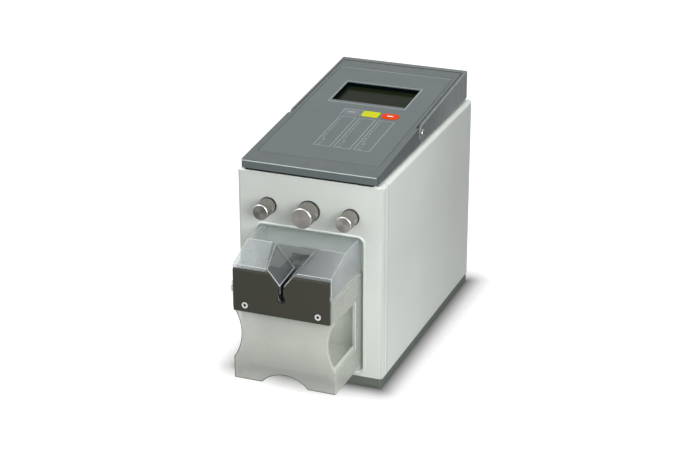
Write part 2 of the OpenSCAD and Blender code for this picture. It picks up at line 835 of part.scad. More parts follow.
// Cross-section of the funnel's open space, widened by a wall
module funnel_outline(wall) {
    side = wall * sqrt(1 + funnel_share * funnel_share);
    half = slot_w / 2;
    top = hood_rise + funnel_floor;
    polygon([[-half - side, 0], [half + side, 0], [half + side + top * funnel_share, top],
        [-half - side - top * funnel_share, top]]);
}

// The funnel's prism, which climbs a little to the rear, from the hood's front to the crease
module funnel(wall, y0, y1) translate([0, -hood_reach, wire_z + funnel_floor]) rotate([funnel_rise, 0, 0])
    along(y0 / cos(funnel_rise), y1 / cos(funnel_rise)) funnel_outline(wall);

module guard_hood() color("#dfe6e4", 0.45) placed() {
    front = hood_reach;
    crease = hood_reach - flat_reach;
    difference() {
        union() {
            difference() {
                across(hood_w) hood_side(0, plate_bottom);
                across(hood_w - 2 * wall_x) hood_side(clear_t, plate_bottom - over);
                // side walls end at the tray; only the front wall goes on down
                block([-half_w, -front + clear_t, plate_bottom - over], [half_w, recess_d + over,
                    hood_side_bottom]);
                for (x = [-1, 1]) translate([x * (plate_half + half_w / 2), -front + clear_t / 2,
                    plate_bottom])
                    cube([half_w, clear_t + 2 * over, 2 * (hood_side_bottom - plate_bottom)], center = true);
            }
            intersection() {
                across(hood_w) hood_side(0, plate_bottom);
                funnel(clear_t, 0, crease + clear_t);
            }
            // bosses that slide on the dowel pins
            for (x = [-1, 1]) translate([x * pin_x(), 0, pin_z()]) bar(pin_d, -pin_l / 2, recess_d - lay_gap);
            hood_lugs();
        }
        funnel(0, -over, crease);
        // wire slot and keyhole through the front wall
        along(-front - over, -front + 2 * clear_t) keyhole();
        // the slot runs on along the funnel's floor to its rear wall
        along(-front - over, -flat_reach + clear_t + over)
            translate([-slot_w / 2, 0]) square([slot_w, wire_z + funnel_floor + 2 * clear_t]);
        for (x = [-1, 1]) translate([x * pin_x(), 0, pin_z()]) bar(pin_d / 2 + run_play, -pin_l / 2 - over,
            recess_d + over);
        plate_screw_places() bar(plate_screw_d / 2 + seat_play, -front - over, -front + 2 * clear_t);
    }
}

// Finger lugs on the hood's front wall, beside the face plate and just above the tray's
module hood_lugs() for (x = [-1, 1]) translate([x * (plate_half + lay_gap + lug_w / 2), 0, 0])
    translate([0, -hood_reach - lug_proud / 2, hood_side_bottom + part_gap + lug_h / 2])
        cube([lug_w, lug_proud, lug_h], center = true);

// Outline of the slot and keyhole that lead a wire down to the blades
module keyhole() {
    translate([0, wire_z]) circle(keyhole_r);
    translate([-slot_w / 2, wire_z]) square([slot_w, funnel_floor + over]);
}

module plate_screw_places() for (x = [-1, 1]) translate([x * plate_screw_x, 0,
    plate_bottom + plate_screw_up]) children();

module face_plate() color("#41423a") placed() difference() {
    h = plate_top - plate_bottom;
    union() {
        along(-guard_front, -hood_reach) translate([-plate_half, plate_bottom]) square([plate_w,
            h - plate_chamfer]);
        across(plate_w) polygon([[-hood_reach, plate_top - 2 * plate_chamfer], [-hood_reach, plate_top],
            [-guard_front + plate_chamfer, plate_top], [-guard_front, plate_top - plate_chamfer],
            [-guard_front, plate_top - 2 * plate_chamfer]]);
    }
    along(-guard_front - over, -hood_reach + over) {
        keyhole();
        translate([0, wire_z + funnel_floor - plate_v_drop]) funnel_outline(0);
    }
    plate_screw_places() {
        bar(plate_screw_d / 2 + seat_play, -guard_front - over, -hood_reach + over);
        bar(plate_screw_head_d / 2 + plate_sink_gap, -guard_front - over, -guard_front + plate_sink_t);
    }
}

module plate_screws() color("#a5a5a0") placed() plate_screw_places() difference() {
    head = -guard_front;
    union() {
        bar(plate_screw_head_d / 2, head, head + plate_sink_t);
        bar(plate_screw_d / 2, head + plate_sink_t, -hood_reach + clear_t + plate_screw_d / 2);
    }
    translate([0, head - over, 0]) rotate([-90, 0, 0]) cylinder(d = socket_d, h = socket_depth + over,
        $fn = 6);
}

module chip_tray() color("#dfe6e4", 0.45) placed() {
    rear = recess_d - lay_gap;
    difference() {
        union() {
            // front panel, side walls and floor
            block([-tray_half, -tray_reach, tray_bottom], [tray_half, -tray_reach + clear_t, tray_panel_top]);
            for (x = [-1, 1]) translate([x * (tray_half - wall_x / 2), 0, 0])
                across(wall_x) polygon([[-tray_reach, tray_bottom], [rear, tray_bottom], [rear, tray_top],
                    [-tray_reach, tray_top]]);
            block([-tray_half, -tray_reach, tray_bottom + tray_floor_up],
                [tray_half, rear, tray_bottom + tray_floor_up + clear_t]);
            block([-tray_half, rear - clear_t, tray_bottom + tray_floor_up],
                [tray_half, rear, tray_panel_top]);
            tray_lugs();
        }
        // finger scallops, cut back through the side walls as far as the rear leg
        for (x = [-1, 1]) along(-tray_reach - over, -leg_reach) {
            low = tray_bottom + scallop_foot;
            high = tray_panel_top + scallop_over;
            half = (high - low) / 2;
            r = (half * half + scallop_bite * scallop_bite) / (2 * scallop_bite);
            translate([x * (tray_half - scallop_bite + r), (low + high) / 2]) circle(r);
        }
        // arch in the front's lower edge
        along(-tray_reach - over, -tray_reach + clear_t + over) {
            r = (arch_half * arch_half + arch_rise * arch_rise) / (2 * arch_rise);
            translate([0, tray_bottom + arch_rise - r]) circle(r);
        }
    }
}

// Finger lugs at the tray's front corners, just under the hood's
module tray_lugs() for (x = [-1, 1]) translate([x * (tray_half - wall_x / 2), -tray_reach - lug_reach / 2,
    tray_top - lug_h / 2])
    cube([wall_x - lay_gap, lug_reach, lug_h], center = true);

module tray_rails() color("#cdd2ce") placed() for (x = [-1, 1]) {
    x0 = tray_half - wall_x - rail_inset;
    z1 = tray_bottom + tray_floor_up - slide_gap;
    translate([x * x0 - rail_w / 2, 0, 0])
        block([0, -tray_reach + rail_end + clear_t, z1 - rail_h], [rail_w, recess_d, z1]);
}

module head_frame() color("#4b4f50") placed() {
    z0 = wire_z - head_drop;
    z1 = wire_z + head_up;
    half = head_w / 2;
    difference() {
        union() {
            block([-half, head_front, z0], [half, bulkhead_y, z1]);
            block([-half - flange_out, bulkhead_y - bulkhead_t, z0 - flange_out], [half + flange_out,
                bulkhead_y, z1 + flange_out]);
        }
        block([-half + cheek_t, head_front + head_t, z0 - over], [half - cheek_t, bulkhead_y + over,
            z1 + over]);
        block([-slot_w / 2, head_front - over, wire_z - slot_deep], [slot_w / 2,
            head_front + head_t + over, z1 + over]);
        // cross channel of the two jaws
        jaw_space(jaw_l + slot_w / 2 + slide_gap, slide_gap);
    }
}

// Black guide that leads the wire from the keyhole to the jaws, under the funnel's floor
module wire_guide() color("#202224") placed() {
    front = -hood_reach + clear_t + guide_gap;
    low = wire_z - head_drop;
    top = wire_z + funnel_floor - guide_top_gap;
    difference() {
        across(guide_w) polygon([[front, low + guide_nose], [front + guide_nose, low], [head_front, low],
            [head_front, top], [front, top]]);
        block([-slot_w / 2, front - over, wire_z - slot_deep], [slot_w / 2, head_front + over, top + over]);
    }
}

module jaw_space(reach, gap) block([-reach, jaw_y - gap, wire_z - jaw_h / 2 - gap], [reach,
    jaw_y + jaw_t + gap, wire_z + jaw_h / 2 + gap]);

// A clamping jaw at rest, with a notch that centres the wire
module jaw(side) placed() difference() {
    x0 = slot_w / 2;
    intersection() {
        jaw_space(x0 + jaw_l, 0);
        translate([side * (x0 + jaw_l / 2), 0, 0]) along(jaw_y, jaw_y + jaw_t)
            translate([0, wire_z]) square([jaw_l, jaw_h], center = true);
    }
    translate([side * x0, 0, wire_z]) along(jaw_y - over, jaw_y + jaw_t + over) rotate(45)
        square(slot_w / 3, center = true);
}

module left_jaw() color("#8f9394") jaw(-1);
module right_jaw() color("#8f9394") jaw(1);

module blade_carriage() color("#6f7577") placed() {
    z0 = wire_z - head_drop + carriage_gap;
    z1 = wire_z + head_up - carriage_gap;
    screw_r = screw_d / 2 + run_play;
    difference() {
        union() {
            block([-carriage_half, carriage_y0, z0], [carriage_half, carriage_y0 + carriage_l, z1]);
            block([-neck_half, carriage_y0, z0], [neck_half, yoke_y + yoke_t, z1]);
            block([-yoke_w / 2, yoke_y, wire_z - rod_d], [yoke_w / 2, yoke_y + yoke_t, wire_z + rod_d]);
            block([-screw_d, yoke_y, screw_z - screw_d], [screw_d, yoke_y + yoke_t, wire_z]);
        }
        block([-slot_w / 2, carriage_y0 - over, wire_z - slot_deep], [slot_w / 2, sensor_y, z1 + over]);
        blade_space(blade_l + slot_w / 2 + slide_gap, slide_gap);
        for (x = [-1, 1]) translate([x * rod_x, 0, wire_z]) bar(rod_d / 2 + run_play, yoke_y - over,
            yoke_y + yoke_t + over);
        translate([0, 0, screw_z]) bar(screw_r, yoke_y - over, yoke_y + yoke_t + over);
    }
}

module blade_space(reach, gap) block([-reach, blade_y - gap, wire_z - blade_h / 2 - gap], [reach,
    blade_y + blade_t + gap, wire_z + blade_h / 2 + gap]);

// A blade at rest, ground to a V that meets the wire
module blade(side) placed() difference() {
    x0 = slot_w / 2;
    translate([side * (x0 + blade_l / 2), 0, 0]) along(blade_y, blade_y + blade_t)
        translate([0, wire_z]) square([blade_l, blade_h], center = true);
    translate([side * x0, 0, wire_z]) along(blade_y - over, blade_y + blade_t + over) rotate(45)
        square(slot_w / 3, center = true);
}

module left_blade() color("#c9cccd") blade(-1);
module right_blade() color("#c9cccd") blade(1);

module wire_sensor() color("#8a2f2f") placed()
    block([-slot_w / 2 + slide_gap, sensor_y - sensor_t, wire_z - slot_deep], [slot_w / 2 - slide_gap,
        sensor_y, wire_z + slot_deep]);

module front_bulkhead() color("#9aa0a2") placed() {
    y1 = bulkhead_y + bulkhead_t;
    difference() {
        union() {
            block([-bulkhead_half, bulkhead_y, base_top + chassis_t], [bulkhead_half, y1,
                shell_top - bulkhead_top_gap]);
            block([-bulkhead_half, bulkhead_y, base_top + chassis_t], [bulkhead_half, y1 + flange_l,
                base_top + chassis_t + bulkhead_t]);
            translate([0, 0, screw_z]) bar(screw_d, bulkhead_y, y1);
        }
        block([-bulkhead_hole_half, bulkhead_y - over, wire_z - head_drop], [bulkhead_hole_half, y1 + over,
            wire_z + head_up]);
        for (i = [-1, 0, 1]) translate([i * knob_pitch, 0, knob_z]) bar(encoder_neck_d / 2 + seat_play,
            bulkhead_y - over, y1 + over);
        for (x = [-1, 1]) translate([x * rod_x, 0, wire_z]) bar(rod_d / 2 + seat_play, bulkhead_y - over,
            y1 + over);
        translate([0, 0, screw_z]) bar(screw_d / 2 + run_play, bulkhead_y - over, y1 + over);
    }
}

module rear_bulkhead() color("#9aa0a2") placed() {
    y1 = rear_bulkhead_y + rear_bulkhead_t;
    half = yoke_w / 2 + rod_d;
    difference() {
        union() {
            block([-half, rear_bulkhead_y, base_top + chassis_t], [half, y1, rear_bulkhead_top]);
            block([-half, rear_bulkhead_y - flange_l, base_top + chassis_t], [half, y1,
                base_top + chassis_t + bulkhead_t]);
        }
        for (x = [-1, 1]) translate([x * rod_x, 0, wire_z]) bar(rod_d / 2 + seat_play,
            rear_bulkhead_y - over, y1 + over);
        translate([0, 0, screw_z]) bar(screw_d / 2 + run_play, rear_bulkhead_y - over, y1 + over);
    }
}

module chassis_floor() color("#9aa0a2") placed() {
    block([-chassis_half, skirt_d, base_top], [chassis_half, rear_y0 - lay_gap, base_top + chassis_t]);
}

module guide_rods() color("#c3c6c7") placed() for (x = [-1, 1]) translate([x * rod_x, 0, wire_z])
    bar(rod_d / 2, bulkhead_y, rear_bulkhead_y + rear_bulkhead_t);

module drive_screw() color("#b4b7b8") placed() translate([0, 0, screw_z]) bar(screw_d / 2, bulkhead_y,
    pulley_y1);

module screw_pulley() color("#a5a8a9") placed() translate([0, 0, screw_z]) difference() {
    flanged_pulley(screw_pulley_r);
    bar(screw_d / 2 + seat_play, pulley_y0 - over, pulley_y1 + over);
}

// The motor's small pulley with its shaft
module motor_pulley() color("#a5a8a9") placed() translate([0, 0, motor_z]) {
    flanged_pulley(motor_pulley_r);
    bar(motor_shaft_r, pulley_y0, motor_y0() + motor_boss_l);
}

module flanged_pulley(r) {
    rim = (pulley_l - belt_w) / 2 - belt_gap;
    bar(r, pulley_y0, pulley_y1);
    bar(r + belt_t, pulley_y0, pulley_y0 + rim);
    bar(r + belt_t, pulley_y1 - rim, pulley_y1);
}

// Outline of an open belt round both pulleys, at a distance out from them
module belt_outline(out) {
    r1 = screw_pulley_r + out;
    r2 = motor_pulley_r + out;
    lean = asin((r1 - r2) / (screw_z - motor_z));
    polygon([for (i = [0:belt_steps]) arc_point(screw_z, r1, -lean + i * (180 + 2 * lean) / belt_steps),
        for (i = [0:belt_steps]) arc_point(motor_z, r2, 180 + lean + i * (180 - 2 * lean) / belt_steps)]);
}

function arc_point(z, r, a) = [r * cos(a), z + r * sin(a)];

module drive_belt() color("#232323") placed() difference() {
    y0 = (pulley_y0 + pulley_y1 - belt_w) / 2;
    along(y0, y0 + belt_w) belt_outline(belt_gap + belt_t);
    along(y0 - over, y0 + belt_w + over) belt_outline(belt_gap);
}

function motor_y0() = pulley_y1 + pulley_gap + motor_plate_t;

module drive_motor() color("#50565a") placed() translate([0, 0, motor_z]) difference() {
    union() {
        bar(motor_r, motor_y0(), motor_y0() + motor_l);
        bar(motor_boss_r, motor_y0() - motor_boss_l, motor_y0());
    }
    bar(motor_shaft_r + run_play, motor_y0() - motor_boss_l - over, motor_y0() + motor_boss_l + slide_gap);
}

module motor_bracket() color("#9aa0a2") placed() {
    y0 = motor_y0() - motor_plate_t;
    z0 = base_top + chassis_t;
    difference() {
        union() {
            block([-motor_r, y0, z0], [motor_r, y0 + motor_plate_t, motor_z + motor_r]);
            block([-motor_r, y0, z0], [motor_r, y0 + motor_l, z0 + motor_foot - slide_gap]);
        }
        translate([0, 0, motor_z]) bar(motor_boss_r + seat_play, y0 - over, y0 + motor_plate_t + over);
    }
}

module power_supply() color("#a8adad") placed() {
    x1 = -supply_gap;
    z0 = base_top + chassis_t;
    difference() {
        block([x1 - supply_w, supply_y1 - supply_l, z0], [x1, supply_y1, z0 + supply_h]);
        for (i = [1:6]) translate([x1 - supply_w / 2, supply_y1 - i * supply_l / 7, z0 + supply_h])
            cube([supply_w * vent_share, vent_h, 2 * vent_h], center = true);
    }
}

module drive_board() color("#2f5d46") placed() translate([supply_gap, supply_y1 - board_l,
    base_top + chassis_t]) {
    translate([0, 0, post_h]) cube([board_w, board_l, board_t]);
    for (x = [post_d, board_w - post_d], y = [post_d, board_l - post_d]) translate([x, y, 0])
        cylinder(d = post_d, h = post_h + board_t);
    for (y = [1, 2]) translate([board_w / 4, y * board_l / 3, post_h]) cylinder(r = cap_r, h = cap_h);
    translate([board_w - 1.5 * coil_w, board_l / 3, post_h]) cube([coil_w, 1.5 * coil_w, coil_w]);
}

module power_inlet() color("#1d1f20") placed() translate([inlet_x, 0, inlet_z]) difference() {
    union() {
        along(rear_y1, rear_y1 + inlet_flange_t) round_rect(inlet_flange_w, inlet_flange_h, inlet_flange_t);
        along(rear_y1 - inlet_depth, rear_y1) square([inlet_w - 2 * slide_gap, inlet_h - 2 * slide_gap],
            center = true);
    }
    along(rear_y1 + inlet_flange_t - socket_l, rear_y1 + inlet_flange_t + over) socket_outline();
}

// Mouth of the inlet: a rectangle with its two upper corners cut off
module socket_outline() {
    w = socket_w / 2;
    h = socket_h / 2;
    cut = socket_h / 4;
    polygon([[-w, -h], [w, -h], [w, h - cut], [w - cut, h], [cut - w, h], [-w, h - cut]]);
}

module inlet_pins() color("#c7b26a") placed() translate([inlet_x, 0, inlet_z]) {
    y0 = rear_y1 + inlet_flange_t - socket_l;
    for (p = [[-inlet_pin_x, -inlet_pin_up], [0, inlet_pin_up], [inlet_pin_x, -inlet_pin_up]])
        along(y0, y0 + inlet_pin_l) translate(p) square([inlet_pin_t, inlet_pin_w], center = true);
}

function switch_w_out() = rocker_w + 2 * switch_flange;
function switch_h_out() = rocker_h + 2 * switch_flange;

module switch_frame() color("#1d1f20") placed() translate([switch_x, 0, inlet_z]) difference() {
    union() {
        along(rear_y1 - switch_depth, rear_y1) square([switch_w_out() - 2 * slide_gap,
            switch_h_out() - 2 * slide_gap], center = true);
        along(rear_y1, rear_y1 + inlet_flange_t)
            round_rect(switch_w_out() + switch_flange, switch_h_out() + switch_flange, inlet_flange_t);
    }
    along(rear_y1 - switch_depth + 2 * inlet_flange_t, rear_y1 + inlet_flange_t + over) square([rocker_w,
        rocker_h], center = true);
    rocker_axle(rocker_w + 2 * switch_flange - 4 * slide_gap, run_play);
}

module rocker_axle(l, play) translate([0, rocker_y, 0]) rotate([0, 90, 0])
    cylinder(r = rocker_axle_d / 2 + play, h = l, center = true);

// The rocker rests tipped one way, and swings to the other about its axle
module power_rocker() color("#26282a") placed() translate([switch_x, 0, inlet_z]) {
    rocker_axle(rocker_w + 2 * switch_flange - 6 * slide_gap, 0);
    half = rocker_h / 2 * rocker_share;
    translate([0, rocker_y, 0]) rotate([rocker_swing, 0, 0]) across(rocker_w - 4 * slide_gap)
        polygon([[-half * rocker_share, -half], [rocker_proud, -half], [rocker_proud - rocker_dip, 0],
            [rocker_proud, half], [-half * rocker_share, half]]);
}

module guard_switch() color("#303438") placed() {
    z1 = recess_top - 2 * clear_t;
    block([-switch_w, recess_d + shell_wall, z1 - 2 * switch_w], [switch_w,
        recess_d + shell_wall + switch_w, z1]);
}

base_plinth();
rubber_feet();
front_panel();
housing_cover();
rear_panel();
rear_screws();
console_shell();
control_overlay();
display_bezel();
display_glass();
display_board();
left_key();
centre_key();
right_key();
control_board();
key_switches();
carry_handle();
handle_screws();
left_knob();
centre_knob();
right_knob();
left_shaft();
centre_shaft();
right_shaft();
left_set_screw();
centre_set_screw();
right_set_screw();
dial_bushes();
dial_encoders();
guard_hood();
face_plate();
plate_screws();
hood_pins();
guard_switch();
chip_tray();
tray_rails();
head_frame();
wire_guide();
left_jaw();
right_jaw();
blade_carriage();
left_blade();
right_blade();
wire_sensor();
front_bulkhead();
rear_bulkhead();
chassis_floor();
guide_rods();
drive_screw();
screw_pulley();
motor_pulley();
drive_belt();
drive_motor();
motor_bracket();
power_supply();
drive_board();
power_inlet();
inlet_pins();
switch_frame();
power_rocker();
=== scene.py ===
"""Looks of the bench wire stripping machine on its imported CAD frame. Metres, +Z up, front towards -Y."""

import json
import math

import bmesh
import bpy
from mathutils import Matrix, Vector


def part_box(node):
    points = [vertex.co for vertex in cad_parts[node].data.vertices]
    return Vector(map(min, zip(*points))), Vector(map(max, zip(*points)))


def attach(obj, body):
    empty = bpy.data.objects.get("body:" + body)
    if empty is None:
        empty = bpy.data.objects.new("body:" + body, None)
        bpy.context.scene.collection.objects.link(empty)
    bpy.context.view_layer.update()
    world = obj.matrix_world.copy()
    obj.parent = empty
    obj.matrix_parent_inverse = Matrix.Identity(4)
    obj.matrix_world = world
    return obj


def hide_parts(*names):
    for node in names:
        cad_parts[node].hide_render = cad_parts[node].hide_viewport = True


MM = 0.001
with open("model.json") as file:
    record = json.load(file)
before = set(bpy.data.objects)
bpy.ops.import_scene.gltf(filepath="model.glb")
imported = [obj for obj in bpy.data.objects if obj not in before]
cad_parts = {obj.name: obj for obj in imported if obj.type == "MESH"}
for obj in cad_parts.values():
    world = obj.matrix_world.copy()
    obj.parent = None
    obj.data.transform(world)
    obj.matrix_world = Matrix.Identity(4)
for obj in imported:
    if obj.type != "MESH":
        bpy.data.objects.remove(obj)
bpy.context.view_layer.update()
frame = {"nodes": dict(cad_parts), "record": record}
NODES = frame["nodes"]

# Camera of the photograph: its place, its turn to the left, its tilt down and its lens
CAMERA_PLACE = (0.5246, -1.35365, 0.7188)
CAMERA_YAW = math.radians(21.114)
CAMERA_PITCH = math.radians(22.8165)
SENSOR_WIDTH = 36.0
LENS = 91.68

# Light that the studio sends from all round: its mean level, and how much more comes from the front left
WORLD_FILL = 0.42
WORLD_LEAN = 0.3
WORLD_LEAN_TO = (-0.45, -0.75, 0.48)

# The floor's own glow for the camera: little at the machine's foot, which leaves a painted shadow there,
# enough to turn it white further out
FLOOR_HALF = 6.0
FLOOR_GLOW = (0.04, 0.8)
GLOW_REACH = 32 * MM
# Painted shadow: the floor's colour is darker in the narrow gap at the machine's foot
CONTACT_SHADE = 0.4
CONTACT_REACH = 14 * MM

# Lamps: place, size and power; all aim at the middle of the machine
LAMPS = {
    "key_light": ((-1.3, -1.2, 1.9), 1.4, 17),
    "top_light": ((0.6, 0.1, 2.2), 1.4, 9),
    "corner_light": ((0.5, -0.62, 0.4), 0.35, 4.2),
}
LAMP_AIM = (0, 0, 0.08)

# Guard hood and chip tray: their main lines, in millimetres from the front face, the floor and the middle.
# The scallop's three values are its low end, its high end and its depth
HOOD_HALF = 43.5
HOOD_FRONT = -60.0
HOOD_CREASE = -28.7
HOOD_TOP = 135.8
HOOD_NOSE = 125.8
HOOD_SIDE_BOTTOM = 105.9
FUNNEL_FLOOR = (112.3, 115.7)
FUNNEL_FLARE = 0.8
SLOT_HALF = 2.1
TRAY_HALF = 45.5
TRAY_FRONT = -57.0
TRAY_TOP = 105.3
TRAY_PANEL_TOP = 84.7
TRAY_BOTTOM = 20.0
SCALLOP = (39.5, 85.7, 7.2)
SCALLOP_STEPS = 12
ARCH_STEPS = 12
LEG_FRONT = -11.5
LEG_LIFT = 1.0
ARCH_HALF = 20.8
ARCH_RISE = 9.5
SKIN = 1.2

# Radius of the beads that paint highlights along edges: on the hood, on the tray, and of those that paint
# shade along the tray's dim edges
EDGE_R = 0.3
TRAY_EDGE_R = 0.32
DIM_EDGE_R = 0.4

# The front face in the frame, from the rear panel's back and its distance in millimetres
REAR_PANEL_BACK = 237.5
FRONT_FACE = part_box("rear_panel")[1].y - REAR_PANEL_BACK * MM

# Funnel of the hood: margin of its zone in millimetres, the painted shade that lets less light through it,
# and how much less haze it shows
FUNNEL_MARGIN = 0.6
FUNNEL_TONE = 0.66
FUNNEL_HAZE = 0.5

# Painted light and shade on the housing: highlight on the shoulders, shade on the front corners, across the
# front and at the sides' rear, light at the foot of the front and the sides
SHOULDER_LIFT = 1.28
SHOULDER_SPAN = (0.2, 0.6)
CORNER_SHADE = 0.82
CORNER_SPAN = (0.2, 0.45)
FRONT_TONES = (0.8, 0.84)
FRONT_SPAN = (12 * MM, 52 * MM)
FRONT_SKIN = 3 * MM
FRONT_FOOT = 1.24
FRONT_FOOT_SPAN = (85 * MM, 150 * MM)
SIDE_FALL = 0.86
SIDE_FALL_SPAN = (0.0, 110 * MM)
SIDE_FOOT = 1.2
SIDE_FOOT_SPAN = (10 * MM, 110 * MM)
# Painted highlight and painted shade as two lines along the seam behind the front panel: start and end in
# millimetres, and tone
SEAM_TONES = ((8.6, 11.1, 1.2), (11.7, 14.2, 0.88))

# Painted shade on the console's upright sides and on its rim in the gap under it, and painted sheen on the
# handle's upright sides
SIDE_SHADE = 0.66
RIM_SHADE = 0.1
RIM_FADE = 0.1 * MM
CONSOLE_LIP = 2.0 * MM
CONSOLE_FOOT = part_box("console_shell")[0].z + CONSOLE_LIP
ARM_SHEEN = (0.78, 1.4)
ARM_SHEEN_SPAN = (0.04, 0.1)

# Painted light and shade on the hood's two slopes, and more haze on the right slope and the sides
HOOD_LEFT = 1.22
HOOD_RIGHT = 0.4
CREST_SPAN = (-8 * MM, 8 * MM)
SLOPE_TONES = (0.75, 1.5)
SLOPE_SPAN = (5 * MM, 43 * MM)
HOOD_VEIL = 0.34
SIDE_VEIL = 0.16

# Painted light and shade on the tray: lighter inner faces, darker outer skin, and shade at the foot of its
# front
INNER_LIFT = 1.22
OUTER_TONE = 0.93
TRAY_FOOT = 0.66
TRAY_FOOT_SPAN = (25 * MM, 60 * MM)

# The hood's slopes, by how far they turn to the front and up
SLOPE_FACING = (-0.26, -0.18)
UPWARD = 0.5

# Clear plastic: how far the haze wavers, and the share of its light that comes through from behind
HAZE_WAVER = 0.02
SCATTER_SHARE = 0.4


# The span that a noise's values mostly keep to
NOISE_SPAN = (0.3, 0.7)

# How far a surface has turned to an axis when it starts to count as facing it, and when it fully does
FACING = (0.8, 0.95)
LOOSELY_FACING = (0.6, 0.9)


def srgb(red, green, blue):
    """A colour given as 8-bit screen values, in linear light."""
    out = []
    for value in (red, green, blue):
        v = value / 255
        out.append(v / 12.92 if v <= 0.04045 else ((v + 0.055) / 1.055) ** 2.4)
    return (*out, 1.0)


class Look:
    """A node material on one Principled shader, with helpers for the detail that each finish needs."""

    def __init__(self, name, colour, roughness, metallic=0.0, coat=0.0, coat_roughness=0.1, specular=0.5):
        self.material = bpy.data.materials.new(name)
        self.material.use_nodes = True
        self.tree = self.material.node_tree
        self.shader = self.tree.nodes["Principled BSDF"]
        self.colour = colour
        self.roughness = roughness
        sockets = self.shader.inputs
        sockets["Base Color"].default_value = colour
        sockets["Roughness"].default_value = roughness
        sockets["Metallic"].default_value = metallic
        sockets["Coat Weight"].default_value = coat
        sockets["Coat Roughness"].default_value = coat_roughness
        sockets["Specular IOR Level"].default_value = specular
        self.normal = None
        self.place = self.node("ShaderNodeTexCoord").outputs["Object"]

    def node(self, kind, **sockets):
        made = self.tree.nodes.new(kind)
        for key, value in sockets.items():
            self.feed(made.inputs[key.replace("_", " ")], value)
        return made

    def feed(self, socket, value):
        if isinstance(value, bpy.types.NodeSocket):
            self.tree.links.new(value, socket)
        else:
            socket.default_value = value

    def mapped(self, place=(0, 0, 0), scale=(1, 1, 1)):
        """Object coordinates moved so that place is their origin, then scaled."""
        moved = self.node("ShaderNodeVectorMath", Vector=self.place)
        moved.operation = "SUBTRACT"
        moved.inputs[1].default_value = place
        scaled = self.node("ShaderNodeVectorMath")
        scaled.operation = "MULTIPLY"
        self.feed(scaled.inputs[0], moved.outputs["Vector"])
        scaled.inputs[1].default_value = scale
        return scaled.outputs["Vector"]

    def maths(self, operation, first, second=0.0):
        made = self.node("ShaderNodeMath")
        made.operation = operation
        self.feed(made.inputs[0], first)
        self.feed(made.inputs[1], second)
        return made.outputs[0]

    def place_axes(self):
        """The three object coordinates, each as a value of its own."""
        return self.node("ShaderNodeSeparateXYZ", Vector=self.place).outputs

    def normal_axes(self):
        """The three parts of the surface's own direction."""
        geometry = self.node("ShaderNodeNewGeometry")
        return self.node("ShaderNodeSeparateXYZ", Vector=geometry.outputs["Normal"]).outputs

    def mixed(self, share, first, second):
        """Two shaders mixed, with share of the second."""
        made = self.node("ShaderNodeMixShader")
        for socket, value in zip(made.inputs, (share, first, second)):
            self.feed(socket, value)
        return made.outputs[0]

    def noise(self, size, detail=3.0, roughness=0.5, vector=None):
        """Noise whose features are about size metres wide."""
        made = self.node("ShaderNodeTexNoise", Vector=vector or self.place, Scale=1 / size)
        made.inputs["Detail"].default_value = detail
        made.inputs["Roughness"].default_value = roughness
        return made.outputs["Fac"]

    def spread(self, value, low, high, start=0.0, end=1.0):
        """Maps value from the span start..end onto low..high."""
        made = self.node("ShaderNodeMapRange", Value=value)
        made.inputs["From Min"].default_value = start
        made.inputs["From Max"].default_value = end
        made.inputs["To Min"].default_value = low
        made.inputs["To Max"].default_value = high
        return made.outputs["Result"]

    def vary_colour(self, size, amount):
        """Makes the colour a little lighter and darker in soft patches."""
        self.scale_colour(self.spread(self.noise(size), 1 - amount, 1 + amount, *NOISE_SPAN))

    def tone_where(self, mask, change):
        """Scales the colour by 1 + change where mask is 1."""
        self.scale_colour(self.maths("ADD", self.maths("MULTIPLY", mask, change), 1.0))

    def scale_colour(self, factor):
        mix = self.node("ShaderNodeVectorMath")
        mix.operation = "SCALE"
        old = self.shader.inputs["Base Color"]
        if old.is_linked:
            self.feed(mix.inputs[0], old.links[0].from_socket)
        else:
            mix.inputs[0].default_value = self.colour[:3]
        self.feed(mix.inputs["Scale"], factor)
        self.feed(old, mix.outputs["Vector"])

    def blend_colour(self, factor, colour):
        """Mixes another colour in where factor is 1."""
        mix = self.node("ShaderNodeMix")
        mix.data_type = "RGBA"
        old = self.shader.inputs["Base Color"]
        self.feed(mix.inputs["Factor"], factor)
        a, b = [s for s in mix.inputs if s.type == "RGBA"]
        if old.is_linked:
            self.feed(a, old.links[0].from_socket)
        else:
            a.default_value = self.colour
        b.default_value = colour
        self.feed(old, [s for s in mix.outputs if s.type == "RGBA"][0])

    def vary_roughness(self, size, amount, vector=None):
        low, high = self.roughness - amount, self.roughness + amount
        factor = self.spread(self.noise(size, vector=vector), low, high, *NOISE_SPAN)
        self.feed(self.shader.inputs["Roughness"], factor)

    def bump(self, height, distance, strength=1.0):
        made = self.node("ShaderNodeBump", Height=height, Distance=distance, Strength=strength)
        if self.normal:
            self.feed(made.inputs["Normal"], self.normal)
        self.normal = made.outputs["Normal"]
        self.feed(self.shader.inputs["Normal"], self.normal)

    def soft_edges(self, radius):
        """Rounds the edges in the shading, as a small real radius would."""
        made = self.node("ShaderNodeBevel", Radius=radius)
        made.samples = 4
        self.normal = made.outputs["Normal"]
        self.feed(self.shader.inputs["Normal"], self.normal)


def facing_front(look, turned_to):
    """1 where the surface faces the front."""
    return look.spread(turned_to["Y"], 1.0, 0.0, -FACING[1], -FACING[0])


def facing_side(look, turned_to, span=FACING):
    """1 where the surface faces either side."""
    return look.spread(look.maths("ABSOLUTE", turned_to["X"]), 0.0, 1.0, *span)


